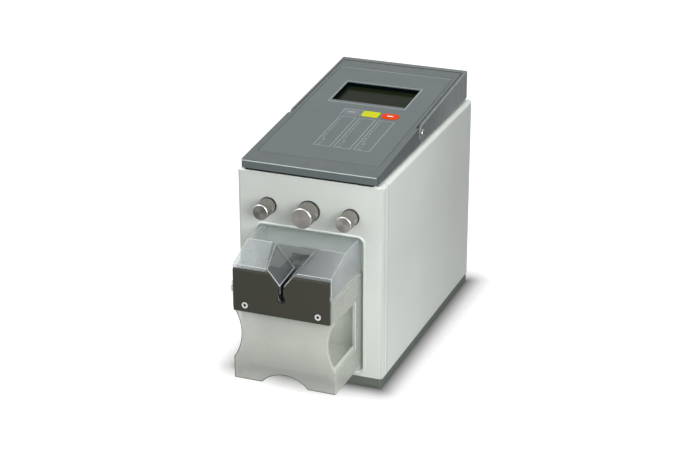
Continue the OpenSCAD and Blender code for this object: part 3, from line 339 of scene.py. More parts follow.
def paint_housing_light(look):
    """Paints light and shade into the housing's colour: shoulders, corners, the seam, and soft falls over the
    front and the sides.
    """
    turned_to = look.normal_axes()
    place = look.place_axes()
    look.scale_colour(look.spread(turned_to["Z"], 1.0, SHOULDER_LIFT, *SHOULDER_SPAN))
    ahead = look.maths("MAXIMUM", look.maths("MULTIPLY", turned_to["Y"], -1.0), 0.0)
    corner = look.maths("MULTIPLY", turned_to["X"], ahead)
    look.scale_colour(look.spread(look.maths("ABSOLUTE", corner), 1.0, CORNER_SHADE, *CORNER_SPAN))
    skin = look.maths("LESS_THAN", place["Y"], FRONT_FACE + FRONT_SKIN)
    front = look.maths("MULTIPLY", facing_front(look, turned_to), skin)
    left, right = FRONT_TONES
    look.tone_where(front, look.spread(place["X"], left - 1, right - 1, *FRONT_SPAN))
    look.tone_where(front, look.spread(place["Z"], FRONT_FOOT - 1, 0.0, *FRONT_FOOT_SPAN))
    side = facing_side(look, turned_to)
    look.tone_where(side, look.spread(place["Y"], 0.0, SIDE_FALL - 1, *SIDE_FALL_SPAN))
    look.tone_where(side, look.spread(place["Z"], SIDE_FOOT - 1, 0.0, *SIDE_FOOT_SPAN))
    for start, end, tone in SEAM_TONES:
        behind = look.maths("GREATER_THAN", place["Y"], FRONT_FACE + start * MM)
        before = look.maths("LESS_THAN", place["Y"], FRONT_FACE + end * MM)
        line = look.maths("MULTIPLY", side, look.maths("MULTIPLY", behind, before))
        look.tone_where(line, tone - 1)


def painted(name, colour, roughness=0.42, specular=0.4, shaded=None):
    """Powder coat; shaded paints the light and shade of its place into the colour."""
    look = Look(name, colour, roughness, specular=specular)
    look.soft_edges(0.35 * MM)
    look.vary_colour(60 * MM, 0.018)
    look.vary_roughness(25 * MM, 0.05)
    look.bump(look.noise(0.35 * MM, 2.0), 0.012 * MM, 0.6)
    if shaded:
        shaded(look)
    return look.material


def moulded(name, colour, roughness=0.5, depth=0.02 * MM, coat=0.0, specular=0.4, shaded=None):
    """Moulded plastic with a fine grain; shaded paints the light and shade of its place into the colour."""
    look = Look(name, colour, roughness, coat=coat, coat_roughness=0.2, specular=specular)
    look.soft_edges(0.3 * MM)
    look.vary_colour(40 * MM, 0.03)
    look.vary_roughness(12 * MM, 0.05)
    look.bump(look.noise(0.45 * MM, 4.0, 0.6), depth, 0.7)
    if shaded:
        shaded(look)
    return look.material


def paint_console_shade(look):
    """Painted shade: darker upright sides, and a dark rim in the gap under the console."""
    side = look.maths("ABSOLUTE", look.normal_axes()["X"])
    look.scale_colour(look.spread(side, 1.0, SIDE_SHADE, *LOOSELY_FACING))
    height = look.place_axes()["Z"]
    look.scale_colour(look.spread(height, RIM_SHADE, 1.0, CONSOLE_FOOT - RIM_FADE, CONSOLE_FOOT))


def arm_sheen(look):
    """Painted sheen: the arms' outer sides are painted dark near the pivot and lighter towards the rear."""
    side = facing_side(look, look.normal_axes(), LOOSELY_FACING)
    near, far = ARM_SHEEN
    look.tone_where(side, look.spread(look.place_axes()["Y"], near - 1, far - 1, *ARM_SHEEN_SPAN))


def film(name, colour):
    """Printed film with a satin face."""
    look = Look(name, colour, 0.38, specular=0.45)
    look.vary_colour(70 * MM, 0.02)
    look.vary_roughness(30 * MM, 0.04)
    look.bump(look.noise(0.22 * MM, 2.0), 0.006 * MM, 0.5)
    return look.material


def rubber(name, colour):
    look = Look(name, colour, 0.8, specular=0.3)
    look.soft_edges(0.3 * MM)
    look.vary_colour(8 * MM, 0.1)
    look.bump(look.noise(0.3 * MM, 4.0), 0.03 * MM, 0.8)
    return look.material


def steel(name, colour, roughness=0.28, line=(1, 1, 1)):
    """Bright metal with fine tool lines; line stretches them along an axis."""
    look = Look(name, colour, roughness, metallic=1.0)
    look.soft_edges(0.15 * MM)
    lines = look.mapped(scale=line)
    look.vary_roughness(0.5 * MM, 0.09, lines)
    look.vary_colour(3 * MM, 0.05)
    look.bump(look.noise(0.25 * MM, 3.0, vector=lines), 0.006 * MM, 0.6)
    return look.material


def turned(name, colour, centre, roughness=0.24, sheen_turn=0.0, sheen_depth=0.0):
    """Turned metal round an axis along Y: fine rings on the face, and a slow sheen painted into the colour in
    sectors round it.
    """
    look = Look(name, colour, roughness, metallic=1.0)
    look.shader.inputs["Anisotropic"].default_value = 0.6
    tangent = look.node("ShaderNodeTangent")
    tangent.direction_type = "RADIAL"
    tangent.axis = "Y"
    split = look.node("ShaderNodeSeparateXYZ", Vector=look.mapped(centre))
    squares = [look.maths("MULTIPLY", split.outputs[axis], split.outputs[axis]) for axis in ("X", "Z")]
    rings = look.node("ShaderNodeCombineXYZ", X=look.maths("SQRT", look.maths("ADD", *squares)))
    look.vary_roughness(0.3 * MM, 0.08, rings.outputs[0])
    look.bump(look.noise(0.22 * MM, 2.0, vector=rings.outputs[0]), 0.012 * MM, 0.8)
    if sheen_depth:
        # painted sheen: two light and two dark sectors in the colour, as light gathers on a face with fine
        # rings
        turn = look.maths("ARCTAN2", split.outputs["Z"], split.outputs["X"])
        wave = look.maths("SINE", look.maths("ADD", look.maths("MULTIPLY", turn, 2.0), sheen_turn))
        look.scale_colour(look.spread(wave, 1 - sheen_depth, 1 + sheen_depth, -1.0, 1.0))
    return look.material


def circuit(name, colour):
    look = Look(name, colour, 0.35, coat=0.3)
    cells = look.node("ShaderNodeTexVoronoi", Vector=look.place, Scale=1 / (3 * MM))
    cells.distance = "CHEBYCHEV"
    look.blend_colour(look.spread(cells.outputs["Distance"], 0, 0.5, 0.35, 0.4), srgb(120, 160, 130))
    return look.material


def funnel_zone(look, place):
    """1 on the hood's funnel walls, 0 elsewhere."""
    height = look.maths("SUBTRACT", place["Z"], FUNNEL_FLOOR[0] * MM)
    wall = look.maths("ADD", look.maths("MULTIPLY", height, FUNNEL_FLARE), (SLOT_HALF + FUNNEL_MARGIN) * MM)
    inside = look.maths("LESS_THAN", look.maths("ABSOLUTE", place["X"]), wall)
    ahead = look.maths("LESS_THAN", place["Y"], (HOOD_CREASE + FUNNEL_MARGIN) * MM + FRONT_FACE)
    return look.maths("MULTIPLY", inside, ahead)


def hood_light(look, haze, tint):
    """Painted shade in the funnel, which is also clearer; painted light on the left slope and painted shade
    on the right one, which the haze hides.
    """
    turned_to = look.normal_axes()
    place = look.place_axes()
    funnel = funnel_zone(look, place)
    clear = look.node("ShaderNodeVectorMath")
    clear.operation = "SCALE"
    clear.inputs[0].default_value = tint[:3]
    look.feed(clear.inputs["Scale"], look.spread(funnel, 1.0, FUNNEL_TONE))
    haze = look.maths("MULTIPLY", haze, look.spread(funnel, 1.0, FUNNEL_HAZE))
    slope = look.spread(turned_to["Y"], 1.0, 0.0, *SLOPE_FACING)
    slope = look.maths("MULTIPLY", slope, look.maths("GREATER_THAN", turned_to["Z"], UPWARD))
    look.tone_where(slope, look.spread(place["X"], HOOD_LEFT - 1, HOOD_RIGHT - 1, *CREST_SPAN))
    out = look.maths("SUBTRACT", look.spread(place["X"], *SLOPE_TONES, *SLOPE_SPAN), 1.0)
    right_slope = look.maths("MULTIPLY", slope, look.maths("GREATER_THAN", place["X"], 0.0))
    look.tone_where(right_slope, out)
    side = facing_side(look, turned_to)
    for mask, veil in ((right_slope, HOOD_VEIL), (side, SIDE_VEIL)):
        haze = look.maths("ADD", haze, look.maths("MULTIPLY", mask, veil))
    return haze, clear.outputs["Vector"]


def tray_light(look, haze, tint):
    """Painted light on the tray's inner faces over its outer skin, and painted shade at the foot of its
    front.
    """
    place = look.place_axes()
    between = look.maths("LESS_THAN", look.maths("ABSOLUTE", place["X"]), (TRAY_HALF - SKIN) * MM)
    behind = look.maths("GREATER_THAN", place["Y"], (TRAY_FRONT + SKIN) * MM + FRONT_FACE)
    look.scale_colour(look.spread(look.maths("MULTIPLY", between, behind), OUTER_TONE, INNER_LIFT))
    front = facing_front(look, look.normal_axes())
    look.tone_where(front, look.spread(place["Z"], TRAY_FOOT - 1, 0.0, *TRAY_FOOT_SPAN))
    return haze, tint


def clear_plastic(name, colour, haze, roughness, tint, lit):
    """Hazy clear sheet: most light goes straight through and takes the tint, the rest is lit on the sheet;
    lit paints the light and shade of its place onto the sheet.
    """
    look = Look(name, srgb(*colour), roughness, specular=0.5)
    look.vary_roughness(9 * MM, 0.04)
    haze = look.spread(look.noise(30 * MM), haze - HAZE_WAVER, haze + HAZE_WAVER, *NOISE_SPAN)
    haze, tint = lit(look, haze, srgb(*tint))
    see_through = look.node("ShaderNodeBsdfTransparent", Color=tint)
    lit_colour = look.shader.inputs["Base Color"].links[0].from_socket
    scatter = look.node("ShaderNodeBsdfTranslucent", Color=lit_colour)
    body = look.mixed(SCATTER_SHARE, look.shader.outputs[0], scatter.outputs[0])
    output = [n for n in look.tree.nodes if n.type == "OUTPUT_MATERIAL"][0]
    look.feed(output.inputs["Surface"], look.mixed(haze, see_through.outputs[0], body))
    return look.material


def display(name, colour):
    """Dark display glass with a faint grid of dots."""
    look = Look(name, colour, 0.2, specular=0.03)
    dots = look.node("ShaderNodeTexVoronoi", Vector=look.place, Scale=1 / (0.5 * MM))
    dots.distance = "CHEBYCHEV"
    look.scale_colour(look.spread(dots.outputs["Distance"], 1.08, 0.86, 0.2, 0.5))
    return look.material


# Housing paint, with painted light and shade from the function given last
LIGHT_PAINT = painted("housing_paint", srgb(208, 213, 208), shaded=paint_housing_light)
BASE_PAINT = painted("base_paint", srgb(104, 112, 104), 0.5, specular=0.2)
# Console moulding with painted shade on its upright sides and on the rim under it
CONSOLE = moulded("console_moulding", srgb(84, 92, 93), 0.4, shaded=paint_console_shade)
# Handle moulding with painted sheen on its arms' sides
HANDLE = moulded("handle_moulding", srgb(96, 102, 102), 0.36, depth=0.012 * MM, shaded=arm_sheen)
OVERLAY = film("overlay_film", srgb(85, 95, 96))
PRINT_LIGHT = film("print_light", srgb(160, 168, 170))
PRINT_WHITE = film("print_white", srgb(226, 230, 230))
KEY_GREY = moulded("grey_key", srgb(106, 114, 118), 0.4)
KEY_YELLOW = moulded("yellow_key", srgb(204, 208, 8), 0.5, specular=0.15)
KEY_RED = moulded("red_key", srgb(226, 66, 5), 0.55, specular=0.06)
BLACK = moulded("black_plastic", srgb(44, 47, 52), 0.4)
# Display well lining: its own black, darkened further as painted shade of the well
WELL_BLACK_AND_SHADE = moulded("display_well_black_and_shade", srgb(2, 8, 11), 0.6, specular=0.03)
DISPLAY = display("display_glass", srgb(28, 36, 20))
BOARD = circuit("circuit_board", srgb(47, 93, 70))
STEEL = steel("steel", srgb(205, 205, 203), 0.26)
SHEET = steel("sheet_steel", srgb(186, 190, 192), 0.38, (1, 0.1, 1))
ALUMINIUM = steel("aluminium", srgb(190, 192, 194), 0.34, (0.2, 1, 1))
BLACKENED = painted("blackened_steel", srgb(82, 86, 88), 0.4)
PLATE = painted("black_face", srgb(58, 58, 51), 0.5, specular=0.15)
# Clear hood with painted light and shade on its slopes and funnel
CLEAR = clear_plastic("clear_plastic", (224, 228, 230), 0.26, 0.1, (243, 245, 244), hood_light)
# Frosted tray with painted light on its inner faces and painted shade at the foot of its front
FROSTED = clear_plastic("frosted_plastic", (221, 223, 218), 0.58, 0.3, (248, 250, 247), tray_light)
# Beads that paint highlights along edges of the hood, tray, console and handle, and beads that paint shade
# along the tray's dim edges
PAINTED_HIGHLIGHT = moulded("painted_edge_highlight", srgb(232, 238, 238), 0.25, depth=0.004 * MM, coat=0.4)
PAINTED_EDGE_SHADE = moulded("edge_shade_bead", srgb(58, 62, 60), 0.4, depth=0.004 * MM)
CONSOLE_HIGHLIGHT = moulded("console_edge_highlight", srgb(186, 194, 194), 0.35, depth=0.004 * MM)
HANDLE_HIGHLIGHT = moulded("handle_edge_highlight", srgb(176, 182, 182), 0.35, depth=0.004 * MM)
# Dark sheet used as painted shade in screw sockets, set screw mouths and the gap under the console's front
SHADOW = moulded("socket_shadow", srgb(30, 30, 28), 0.7, specular=0.1)
RUBBER = rubber("rubber", srgb(40, 40, 42))
SENSOR = moulded("red_sensor", srgb(140, 48, 44), 0.3)
BRASS = steel("brass_pins", srgb(206, 178, 106), 0.25)
KNURLED = steel("knurled_steel", srgb(158, 155, 149), 0.42)
RIM = steel("bright_rim", srgb(212, 210, 207), 0.34)
SCREW_HEAD = steel("screw_head", srgb(240, 240, 238), 0.55)
PIVOT_SCREW = steel("pivot_screw", srgb(140, 142, 141), 0.4)

# Finish of each slot of the record, and of single nodes that differ from their slot
SLOTS = {
    "housing_paint": LIGHT_PAINT,
    "base_paint": BASE_PAINT,
    "console_moulding": CONSOLE,
    "handle_moulding": HANDLE,
    "overlay_film": OVERLAY,
    "grey_key": KEY_GREY,
    "yellow_key": KEY_YELLOW,
    "red_key": KEY_RED,
    "black_plastic": BLACK,
    "display_glass": DISPLAY,
    "circuit_board": BOARD,
    "steel": STEEL,
    "sheet_steel": SHEET,
    "aluminium": ALUMINIUM,
    "blackened_steel": BLACKENED,
    "black_face": PLATE,
    "clear_plastic": CLEAR,
    "rubber": RUBBER,
    "red_sensor": SENSOR,
    "brass_pins": BRASS,
}
SPECIAL = {
    "display_bezel": WELL_BLACK_AND_SHADE,
    "chip_tray": FROSTED,
    "plate_screws": SCREW_HEAD,
    "handle_screws": PIVOT_SCREW,
}


def dress_nodes():
    """Gives each CAD node its finish; turned metal is made for each node round its own axis."""
    for part in frame["record"]["subparts"]:
        node = NODES[part["node"]]
        finish = SPECIAL.get(part["node"]) or SLOTS.get(part["material_slot"])
        if finish is None:
            centre = [(a + b) / 2 for a, b in zip(*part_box(part["node"]))]
            finish = turned("turned_" + part["node"], srgb(172, 168, 164), centre)
        for slot in node.material_slots:
            slot.material = finish


def mesh_piece(name, finish, body, build):
    """A new mesh object built by build(bm), riding on a CAD body."""
    bm = bmesh.new()
    build(bm)
    data = bpy.data.meshes.new(name)
    bm.to_mesh(data)
    bm.free()
    data.materials.append(finish)
    piece = bpy.data.objects.new(name, data)
    bpy.context.scene.collection.objects.link(piece)
    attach(piece, body)
    return piece


# Dials: knurled sides with a chamfer at each end
KNURLS = 44
KNURL_STEPS = 4
KNURL_DEPTH = 0.22 * MM
CHAMFER = 0.62 * MM
SHAFT_HOLE_R = 3.02 * MM
# Rim of a set screw's hole, and the painted shade in its mouth
RIM_W = 0.5 * MM
RIM_PROUD = 0.1 * MM
RIM_T = 0.5 * MM
MOUTH_SINK = 0.3 * MM
MOUTH_STEPS = 20
# Painted light on each dial's face: its tone, lighter or darker with the light on that dial, where its
# painted light sectors lie, and how much they differ
DIAL_FACE_LIGHT = {
    "left": ((142, 141, 137), math.radians(200), 0.28),
    "centre": ((178, 173, 169), math.radians(60), 0.1),
    "right": ((176, 171, 167), math.radians(150), 0.22),
}


def ring_of(bm, steps, place):
    """A ring of vertices; place gives each one's point from its angle."""
    return [bm.verts.new(place(2 * math.pi * i / steps)) for i in range(steps)]


def band(bm, first, second):
    """Faces between two rings of as many vertices."""
    steps = len(first)
    faces = []
    for i in range(steps):
        j = (i + 1) % steps
        faces.append(bm.faces.new((first[i], first[j], second[j], second[i])))
    return faces


def knurled_dial(side):
    """Copies the CAD dial's sizes and cuts straight knurls round it."""
    low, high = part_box(side + "_knob")
    radius = (high.x - low.x) / 2
    centre_x, centre_z = (low.x + high.x) / 2, (low.z + high.z) / 2
    back, front = high.y, low.y
    face, knurl, rim = range(3)
    # Each ring's place, radius, whether the knurls cut it, and the finish of the band that follows it
    profile = (
        (back, SHAFT_HOLE_R, 0, knurl),
        (back, radius - CHAMFER, 0, knurl),
        (back - 0.2 * CHAMFER, radius - 0.8 * CHAMFER, 0, knurl),
        (back - CHAMFER, radius, 0, knurl),
        (back - 1.25 * CHAMFER, radius, 1, knurl),
        (front + 1.25 * CHAMFER, radius, 1, knurl),
        (front + CHAMFER, radius, 0, rim),
        (front, radius - CHAMFER, 0, face),
        (front, 0.4 * CHAMFER, 0, face),
    )

    def build(bm):
        rings = []
        for y, r, cut, tone in profile:

            def place(angle):
                out = r - KNURL_DEPTH * cut * (1 - math.cos(KNURLS * angle)) / 2
                return (centre_x + out * math.cos(angle), y, centre_z + out * math.sin(angle))

            rings.append((ring_of(bm, KNURLS * KNURL_STEPS, place), tone))
        for (first, tone), (second, _) in zip(rings, rings[1:]):
            for made in band(bm, first, second):
                made.material_index = tone
                made.smooth = tone == knurl
        bm.faces.new(rings[-1][0])
        bmesh.ops.recalc_face_normals(bm, faces=bm.faces)

    centre = (centre_x, back, centre_z)
    tone, sheen_turn, sheen_depth = DIAL_FACE_LIGHT[side]
    finish = turned("turned_" + side, srgb(*tone), centre, 0.3, sheen_turn, sheen_depth)
    piece = mesh_piece(side + "_dial_grip", finish, side + "_dial", build)
    piece.data.materials.append(KNURLED)
    piece.data.materials.append(RIM)
    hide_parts(side + "_knob")


def set_screw_rim(side):
    """The rim of the hole that a dial's set screw sits in, and painted shade in its mouth."""
    low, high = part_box(side + "_set_screw")
    middle_y, middle_z = (low.y + high.y) / 2, (low.z + high.z) / 2
    hole_r = (high.y - low.y) / 2
    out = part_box(side + "_knob")[1].x + RIM_PROUD
    profile = (
        (out - RIM_T, hole_r + RIM_W),
        (out, hole_r + RIM_W),
        (out, hole_r),
        (out - MOUTH_SINK, hole_r),
    )

    def build(bm):
        rings = []
        for x, r in profile:

            def place(angle):
                return (x, middle_y + r * math.cos(angle), middle_z + r * math.sin(angle))

            rings.append(ring_of(bm, MOUTH_STEPS, place))
        for first, second in zip(rings, rings[1:]):
            band(bm, first, second)
        bm.faces.new(rings[-1]).material_index = 1
        bm.faces.new(list(reversed(rings[0])))
        bmesh.ops.recalc_face_normals(bm, faces=bm.faces)

    piece = mesh_piece(side + "_set_screw_rim", RIM, side + "_dial", build)
    piece.data.materials.append(SHADOW)


def from_front(x, y, z):
    """A point given in millimetres from the front face, in the row frame."""
    return Vector((x * MM, y * MM + FRONT_FACE, z * MM))


def painted_edge_beads(name, body, runs, finish=PAINTED_HIGHLIGHT, radius=EDGE_R):
    """Painted highlight or painted shade along edges: a thin six-sided bead along each run of points."""

    def build(bm):
        for points in runs:
            for a, b in zip(points, points[1:]):
                ends = (from_front(*a), from_front(*b))
                turn = (ends[1] - ends[0]).to_track_quat("Z", "Y")
                rings = []
                for end in ends:

                    def place(angle):
                        return end + turn @ Vector((math.cos(angle), math.sin(angle), 0)) * radius * MM

                    rings.append(ring_of(bm, 6, place))
                band(bm, *rings)
                bm.faces.new(list(reversed(rings[0])))
                bm.faces.new(rings[1])
        bmesh.ops.recalc_face_normals(bm, faces=bm.faces)

    return mesh_piece(name, finish, body, build)


def hood_edges():
    """Painted highlights along the hood's outline, its funnel and its slot."""
    inset = EDGE_R
    half, front, top = HOOD_HALF - inset, HOOD_FRONT + inset, HOOD_TOP - inset
    nose, low = HOOD_NOSE - inset, HOOD_SIDE_BOTTOM + inset
    front_floor, rear_floor = FUNNEL_FLOOR
    front_half = SLOT_HALF + (HOOD_NOSE - front_floor) * FUNNEL_FLARE
    rear_half = SLOT_HALF + (HOOD_TOP - rear_floor) * FUNNEL_FLARE
    runs = []
    for side in (-1, 1):
        outer_nose = (side * half, front, nose)
        outer_crest = (side * half, HOOD_CREASE, top)
        funnel_nose = (side * front_half, front, nose)
        funnel_crest = (side * rear_half, HOOD_CREASE, top)
        slot_nose = (side * SLOT_HALF, front, front_floor)
        slot_crest = (side * SLOT_HALF, HOOD_CREASE, rear_floor)
        runs += [
            [outer_crest, funnel_crest],
            [(side * half, 0, top), outer_crest, outer_nose],
            [outer_nose, (side * half, front, HOOD_SIDE_BOTTOM)],
            [outer_nose, funnel_nose],
            [funnel_nose, slot_nose],
            [funnel_nose, funnel_crest],
            [slot_nose, slot_crest],
            [funnel_crest, slot_crest],
            [(side * half, front, low), (side * half, 0, low)],
        ]
    runs.append([(-rear_half, HOOD_CREASE, top), (rear_half, HOOD_CREASE, top)])
    painted_edge_beads("hood_painted_highlights", "hood", runs)


def scallop_outline(side):
    """The scalloped side of the tray's front, from the panel's top down to its foot."""
    low, high, bite = SCALLOP
    middle, half_h = (low + high) / 2, (high - low) / 2
    radius = (half_h * half_h + bite * bite) / (2 * bite)
    top_angle = math.asin((TRAY_PANEL_TOP - middle) / radius)
    low_angle = math.asin((middle - low) / radius)
    points = []
    for i in range(SCALLOP_STEPS + 1):
        angle = top_angle - (top_angle + low_angle) * i / SCALLOP_STEPS
        x = TRAY_HALF - bite + radius - radius * math.cos(angle) - EDGE_R
        points.append((side * x, TRAY_FRONT + EDGE_R, middle + radius * math.sin(angle)))
    return [points, [points[-1], (side * (TRAY_HALF - EDGE_R), TRAY_FRONT + EDGE_R, TRAY_BOTTOM)]]


def arch_outline():
    """The tray's lower edge with its arch, from left to right."""
    half, front = TRAY_HALF - EDGE_R, TRAY_FRONT + EDGE_R
    radius = (ARCH_HALF * ARCH_HALF + ARCH_RISE * ARCH_RISE) / (2 * ARCH_RISE)
    spread = math.asin(ARCH_HALF / radius)
    points = [(-half, front, TRAY_BOTTOM + EDGE_R)]
    for i in range(ARCH_STEPS + 1):
        angle = spread * (2 * i / ARCH_STEPS - 1)
        z = TRAY_BOTTOM + ARCH_RISE - radius + radius * math.cos(angle)
        points.append((radius * math.sin(angle), front, z + EDGE_R))
    points.append((half, front, TRAY_BOTTOM + EDGE_R))
    return points


def tray_edges():
    """Painted highlights along the tray's right scallop, legs and rims; painted shade along its left scallop
    and lower edge.
    """
    half, front, top = TRAY_HALF - EDGE_R, TRAY_FRONT + EDGE_R, TRAY_TOP - EDGE_R
    runs = scallop_outline(1)
    for side in (-1, 1):
        runs += [
            [(side * half, LEG_FRONT, SCALLOP[0] + LEG_LIFT), (side * half, LEG_FRONT, TRAY_PANEL_TOP)],
            [(side * half, front, top), (side * half, 0, top)],
        ]
    painted_edge_beads("tray_painted_highlights", "tray", runs, radius=TRAY_EDGE_R)
    dim = [arch_outline(), *scallop_outline(-1)]
    painted_edge_beads("tray_painted_edge_shade", "tray", dim, finish=PAINTED_EDGE_SHADE, radius=DIM_EDGE_R)


# The handle's outline and its painted highlight beads, the console's front edge with its painted highlight,
# and the painted shade strip below it, in millimetres
NOSE_R = 8.0
BAR_R = 2.0
PIVOT_Y = 110.0
CONSOLE_FRONT_T = 6.7
CONSOLE_BROW = 0.8
BAND_R = 0.7
BROW_R = 0.42
BROW_INSET = 1.0
EDGE_INSET = 0.12
ARM_BEAD_R = 0.4
# The painted shade strip under the console's front: its front, back, lift and side inset
GAP_SHADE_FRONT = -1.4
GAP_SHADE_BACK = 1.0
GAP_SHADE_LIFT = 0.3
GAP_SHADE_SIDE = 4.0
# The stretch of the handle's nose that gets a painted highlight, as angles in degrees from the rear
NOSE_ARC = range(210, 90, -10)


def millimetres(point):
    """A point of the row frame in millimetres from the front face, the floor and the middle."""
    return (point.x / MM, (point.y - FRONT_FACE) / MM, point.z / MM)


def handle_edges():
    """Painted highlights along the arms' outer edges and the back of the bar."""
    low, high = (millimetres(v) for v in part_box("carry_handle"))
    half = high[0] - EDGE_INSET
    pivot_z = low[2] + NOSE_R
    reach = NOSE_R - ARM_BEAD_R
    runs = []
    for side in (-1, 1):
        points = []
        for turn in map(math.radians, NOSE_ARC):
            points.append((side * half, PIVOT_Y + reach * math.cos(turn), pivot_z + reach * math.sin(turn)))
        points.append((side * half, high[1] - BAR_R, high[2] - ARM_BEAD_R))
        runs.append(points)
    painted_edge_beads("handle_painted_highlights", "handle", runs, HANDLE_HIGHLIGHT, ARM_BEAD_R)
    back = (high[1] - BAR_R, high[2] - BAND_R)
    runs = [[(-half + BAR_R, *back), (half - BAR_R, *back)]]
    painted_edge_beads("handle_bar_highlight", "handle", runs, HANDLE_HIGHLIGHT, BAND_R)


def console_edge_highlight():
    """Painted highlight along the console's front edge."""
    low, high = (millimetres(v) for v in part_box("console_shell"))
    edge = (low[1] + CONSOLE_BROW / 2, CONSOLE_FOOT / MM + CONSOLE_FRONT_T - CONSOLE_BROW / 2)
    runs = [[(low[0] + BROW_INSET, *edge), (high[0] - BROW_INSET, *edge)]]
    painted_edge_beads("console_front_highlight", "root", runs, CONSOLE_HIGHLIGHT, BROW_R)


def console_gap_shade():
    """Painted shade: a dark strip in the gap between the console's front and the housing."""
    low, high = (millimetres(v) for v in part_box("console_shell"))
    top = CONSOLE_FOOT / MM
    floor = low[2] + GAP_SHADE_LIFT
    size = (high[0] - low[0] - 2 * GAP_SHADE_SIDE, GAP_SHADE_BACK - GAP_SHADE_FRONT, top - floor)
    middle = (0, (GAP_SHADE_BACK + GAP_SHADE_FRONT) / 2, (top + floor) / 2)

    def build(bm):
        for vert in bmesh.ops.create_cube(bm, size=1.0)["verts"]:
            vert.co = from_front(*(m + share * length for m, share, length in zip(middle, vert.co, size)))

    mesh_piece("console_gap_shade", SHADOW, "root", build)


# Painted shade in the hexagon sockets of the two plate screws
SOCKET_R = 1.35 * MM
SOCKET_SINK = 0.25 * MM


def screw_socket_shade():
    """Painted shade: a dark hexagon on each head, which faces the front."""
    low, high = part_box("plate_screws")
    head_r = (high.z - low.z) / 2
    z = (low.z + high.z) / 2

    def build(bm):
        for x in (low.x + head_r, high.x - head_r):
            ring = []
            for i in range(6):
                angle = math.radians(60 * i + 30)
                across, up = SOCKET_R * math.cos(angle), SOCKET_R * math.sin(angle)
                ring.append(bm.verts.new((x + across, low.y + SOCKET_SINK, z + up)))
            face = bm.faces.new(ring)
            if face.normal.y > 0:
                face.normal_flip()

    mesh_piece("plate_screw_socket_shade", SHADOW, "hood", build)


# The panel's own plane, taken from the overlay's rear edge: s runs up the slope from the console's front edge
PANEL_SLOPE = math.radians(4.87)
PANEL_NORMAL = Vector((0, -math.sin(PANEL_SLOPE), math.cos(PANEL_SLOPE)))
PANEL_UP = Vector((0, math.cos(PANEL_SLOPE), math.sin(PANEL_SLOPE)))
OVERLAY_END = 215.7 * MM
OVERLAY_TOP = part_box("control_overlay")[1]
PANEL_ORIGIN = Vector((0, OVERLAY_TOP.y, OVERLAY_TOP.z)) - PANEL_UP * OVERLAY_END
PRINT_RISE = 0.02 * MM
KEY_PRINT_RISE = 0.32 * MM

# The panel's print, in millimetres: each outline is x0, s0, x1, s1
HEAD_RULE = (-53.6, 213.4, 53.6, 214.0)
DISPLAY_FRAME = (-36.3, 135.8, 36.3, 184.0)
DISPLAY_LINE = 0.8
KEY_FRAME = (-15.6, 112.0, 1.8, 125.0)
LINE = 0.5
TABLES = ((-14.3, 1.0), (4.0, 19.0), (22.0, 36.6))
TABLE_S0 = 45.6
TABLE_S1 = 108.6
TABLE_ROWS = 12
TABLE_INDENT = 2.0
FIGURE_H = 2.6
FIGURE_W = 1.5
FIGURE_GAP = 0.7
FIGURE_LINE_SHARE = 0.14
GREY_KEY_BAR = (-10.5, 117.6, -3.5, 119.0)
RED_KEY_BAR = (26.0, 118.0, 31.5, 120.0)

# Bars of a seven-bar figure that are on for each value, 0 first
FIGURE_BARS = ("abcdef", "bc", "abged", "abgcd", "fgbc", "afgcd", "afgedc", "abc", "abcdefg", "abcdfg")


def on_panel(x, s, rise=PRINT_RISE):
    """A point on the control panel, from its place across and up the slope in millimetres."""
    return Vector((x * MM, 0, 0)) + PANEL_ORIGIN + PANEL_UP * s * MM + PANEL_NORMAL * rise


def printed(name, finish, shapes, rise=PRINT_RISE):
    """Flat print on the panel; each shape is a list of corners."""

    def build(bm):
        for corners in shapes:
            bm.faces.new([bm.verts.new(on_panel(x, s, rise)) for x, s in corners])
        for face in bm.faces:
            if face.normal.dot(PANEL_NORMAL) < 0:
                face.normal_flip()

    return mesh_piece(name, finish, "root", build)


def rect(x0, s0, x1, s1):
    """Corners of an upright rectangle on the panel."""
    return [(x0, s0), (x1, s0), (x1, s1), (x0, s1)]


def frame_lines(x0, s0, x1, s1, width):
    """Four strips that make a printed frame."""
    return [
        rect(x0, s0, x1, s0 + width),
        rect(x0, s1 - width, x1, s1),
        rect(x0, s0 + width, x0 + width, s1 - width),
        rect(x1 - width, s0 + width, x1, s1 - width),
    ]


def figure(value, x, s):
    """A plain figure made of bars, with its lower left corner at x, s."""
    line = FIGURE_H * FIGURE_LINE_SHARE
    x1, top, half = x + FIGURE_W, s + FIGURE_H, s + FIGURE_H / 2
    bars = {
        "a": rect(x, top - line, x1, top),
        "g": rect(x, half - line / 2, x1, half + line / 2),
        "d": rect(x, s, x1, s + line),
        "f": rect(x, half, x + line, top),
        "b": rect(x1 - line, half, x1, top),
        "e": rect(x, s, x + line, half),
        "c": rect(x1 - line, s, x1, half),
    }
    return [bars[b] for b in FIGURE_BARS[value]]


def print_panel():
    """The rule at the head, the frames of display, tables and grey key, and the tables' row numbers."""
    lines = [rect(*HEAD_RULE)]
    lines += frame_lines(*DISPLAY_FRAME, DISPLAY_LINE)
    figures = []
    pitch = (TABLE_S1 - TABLE_S0) / TABLE_ROWS
    for x0, x1 in TABLES:
        lines += frame_lines(x0, TABLE_S0, x1, TABLE_S1, LINE)
        for row in range(TABLE_ROWS):
            s = TABLE_S0 + (row + 0.5) * pitch - FIGURE_H / 2
            x = x0 + TABLE_INDENT
            for value in str(TABLE_ROWS - row):
                figures += figure(int(value), x, s)
                x += FIGURE_W + FIGURE_GAP
    lines += frame_lines(*KEY_FRAME, LINE)
    printed("panel_lines", PRINT_LIGHT, lines)
    printed("panel_figures", PRINT_LIGHT, figures)


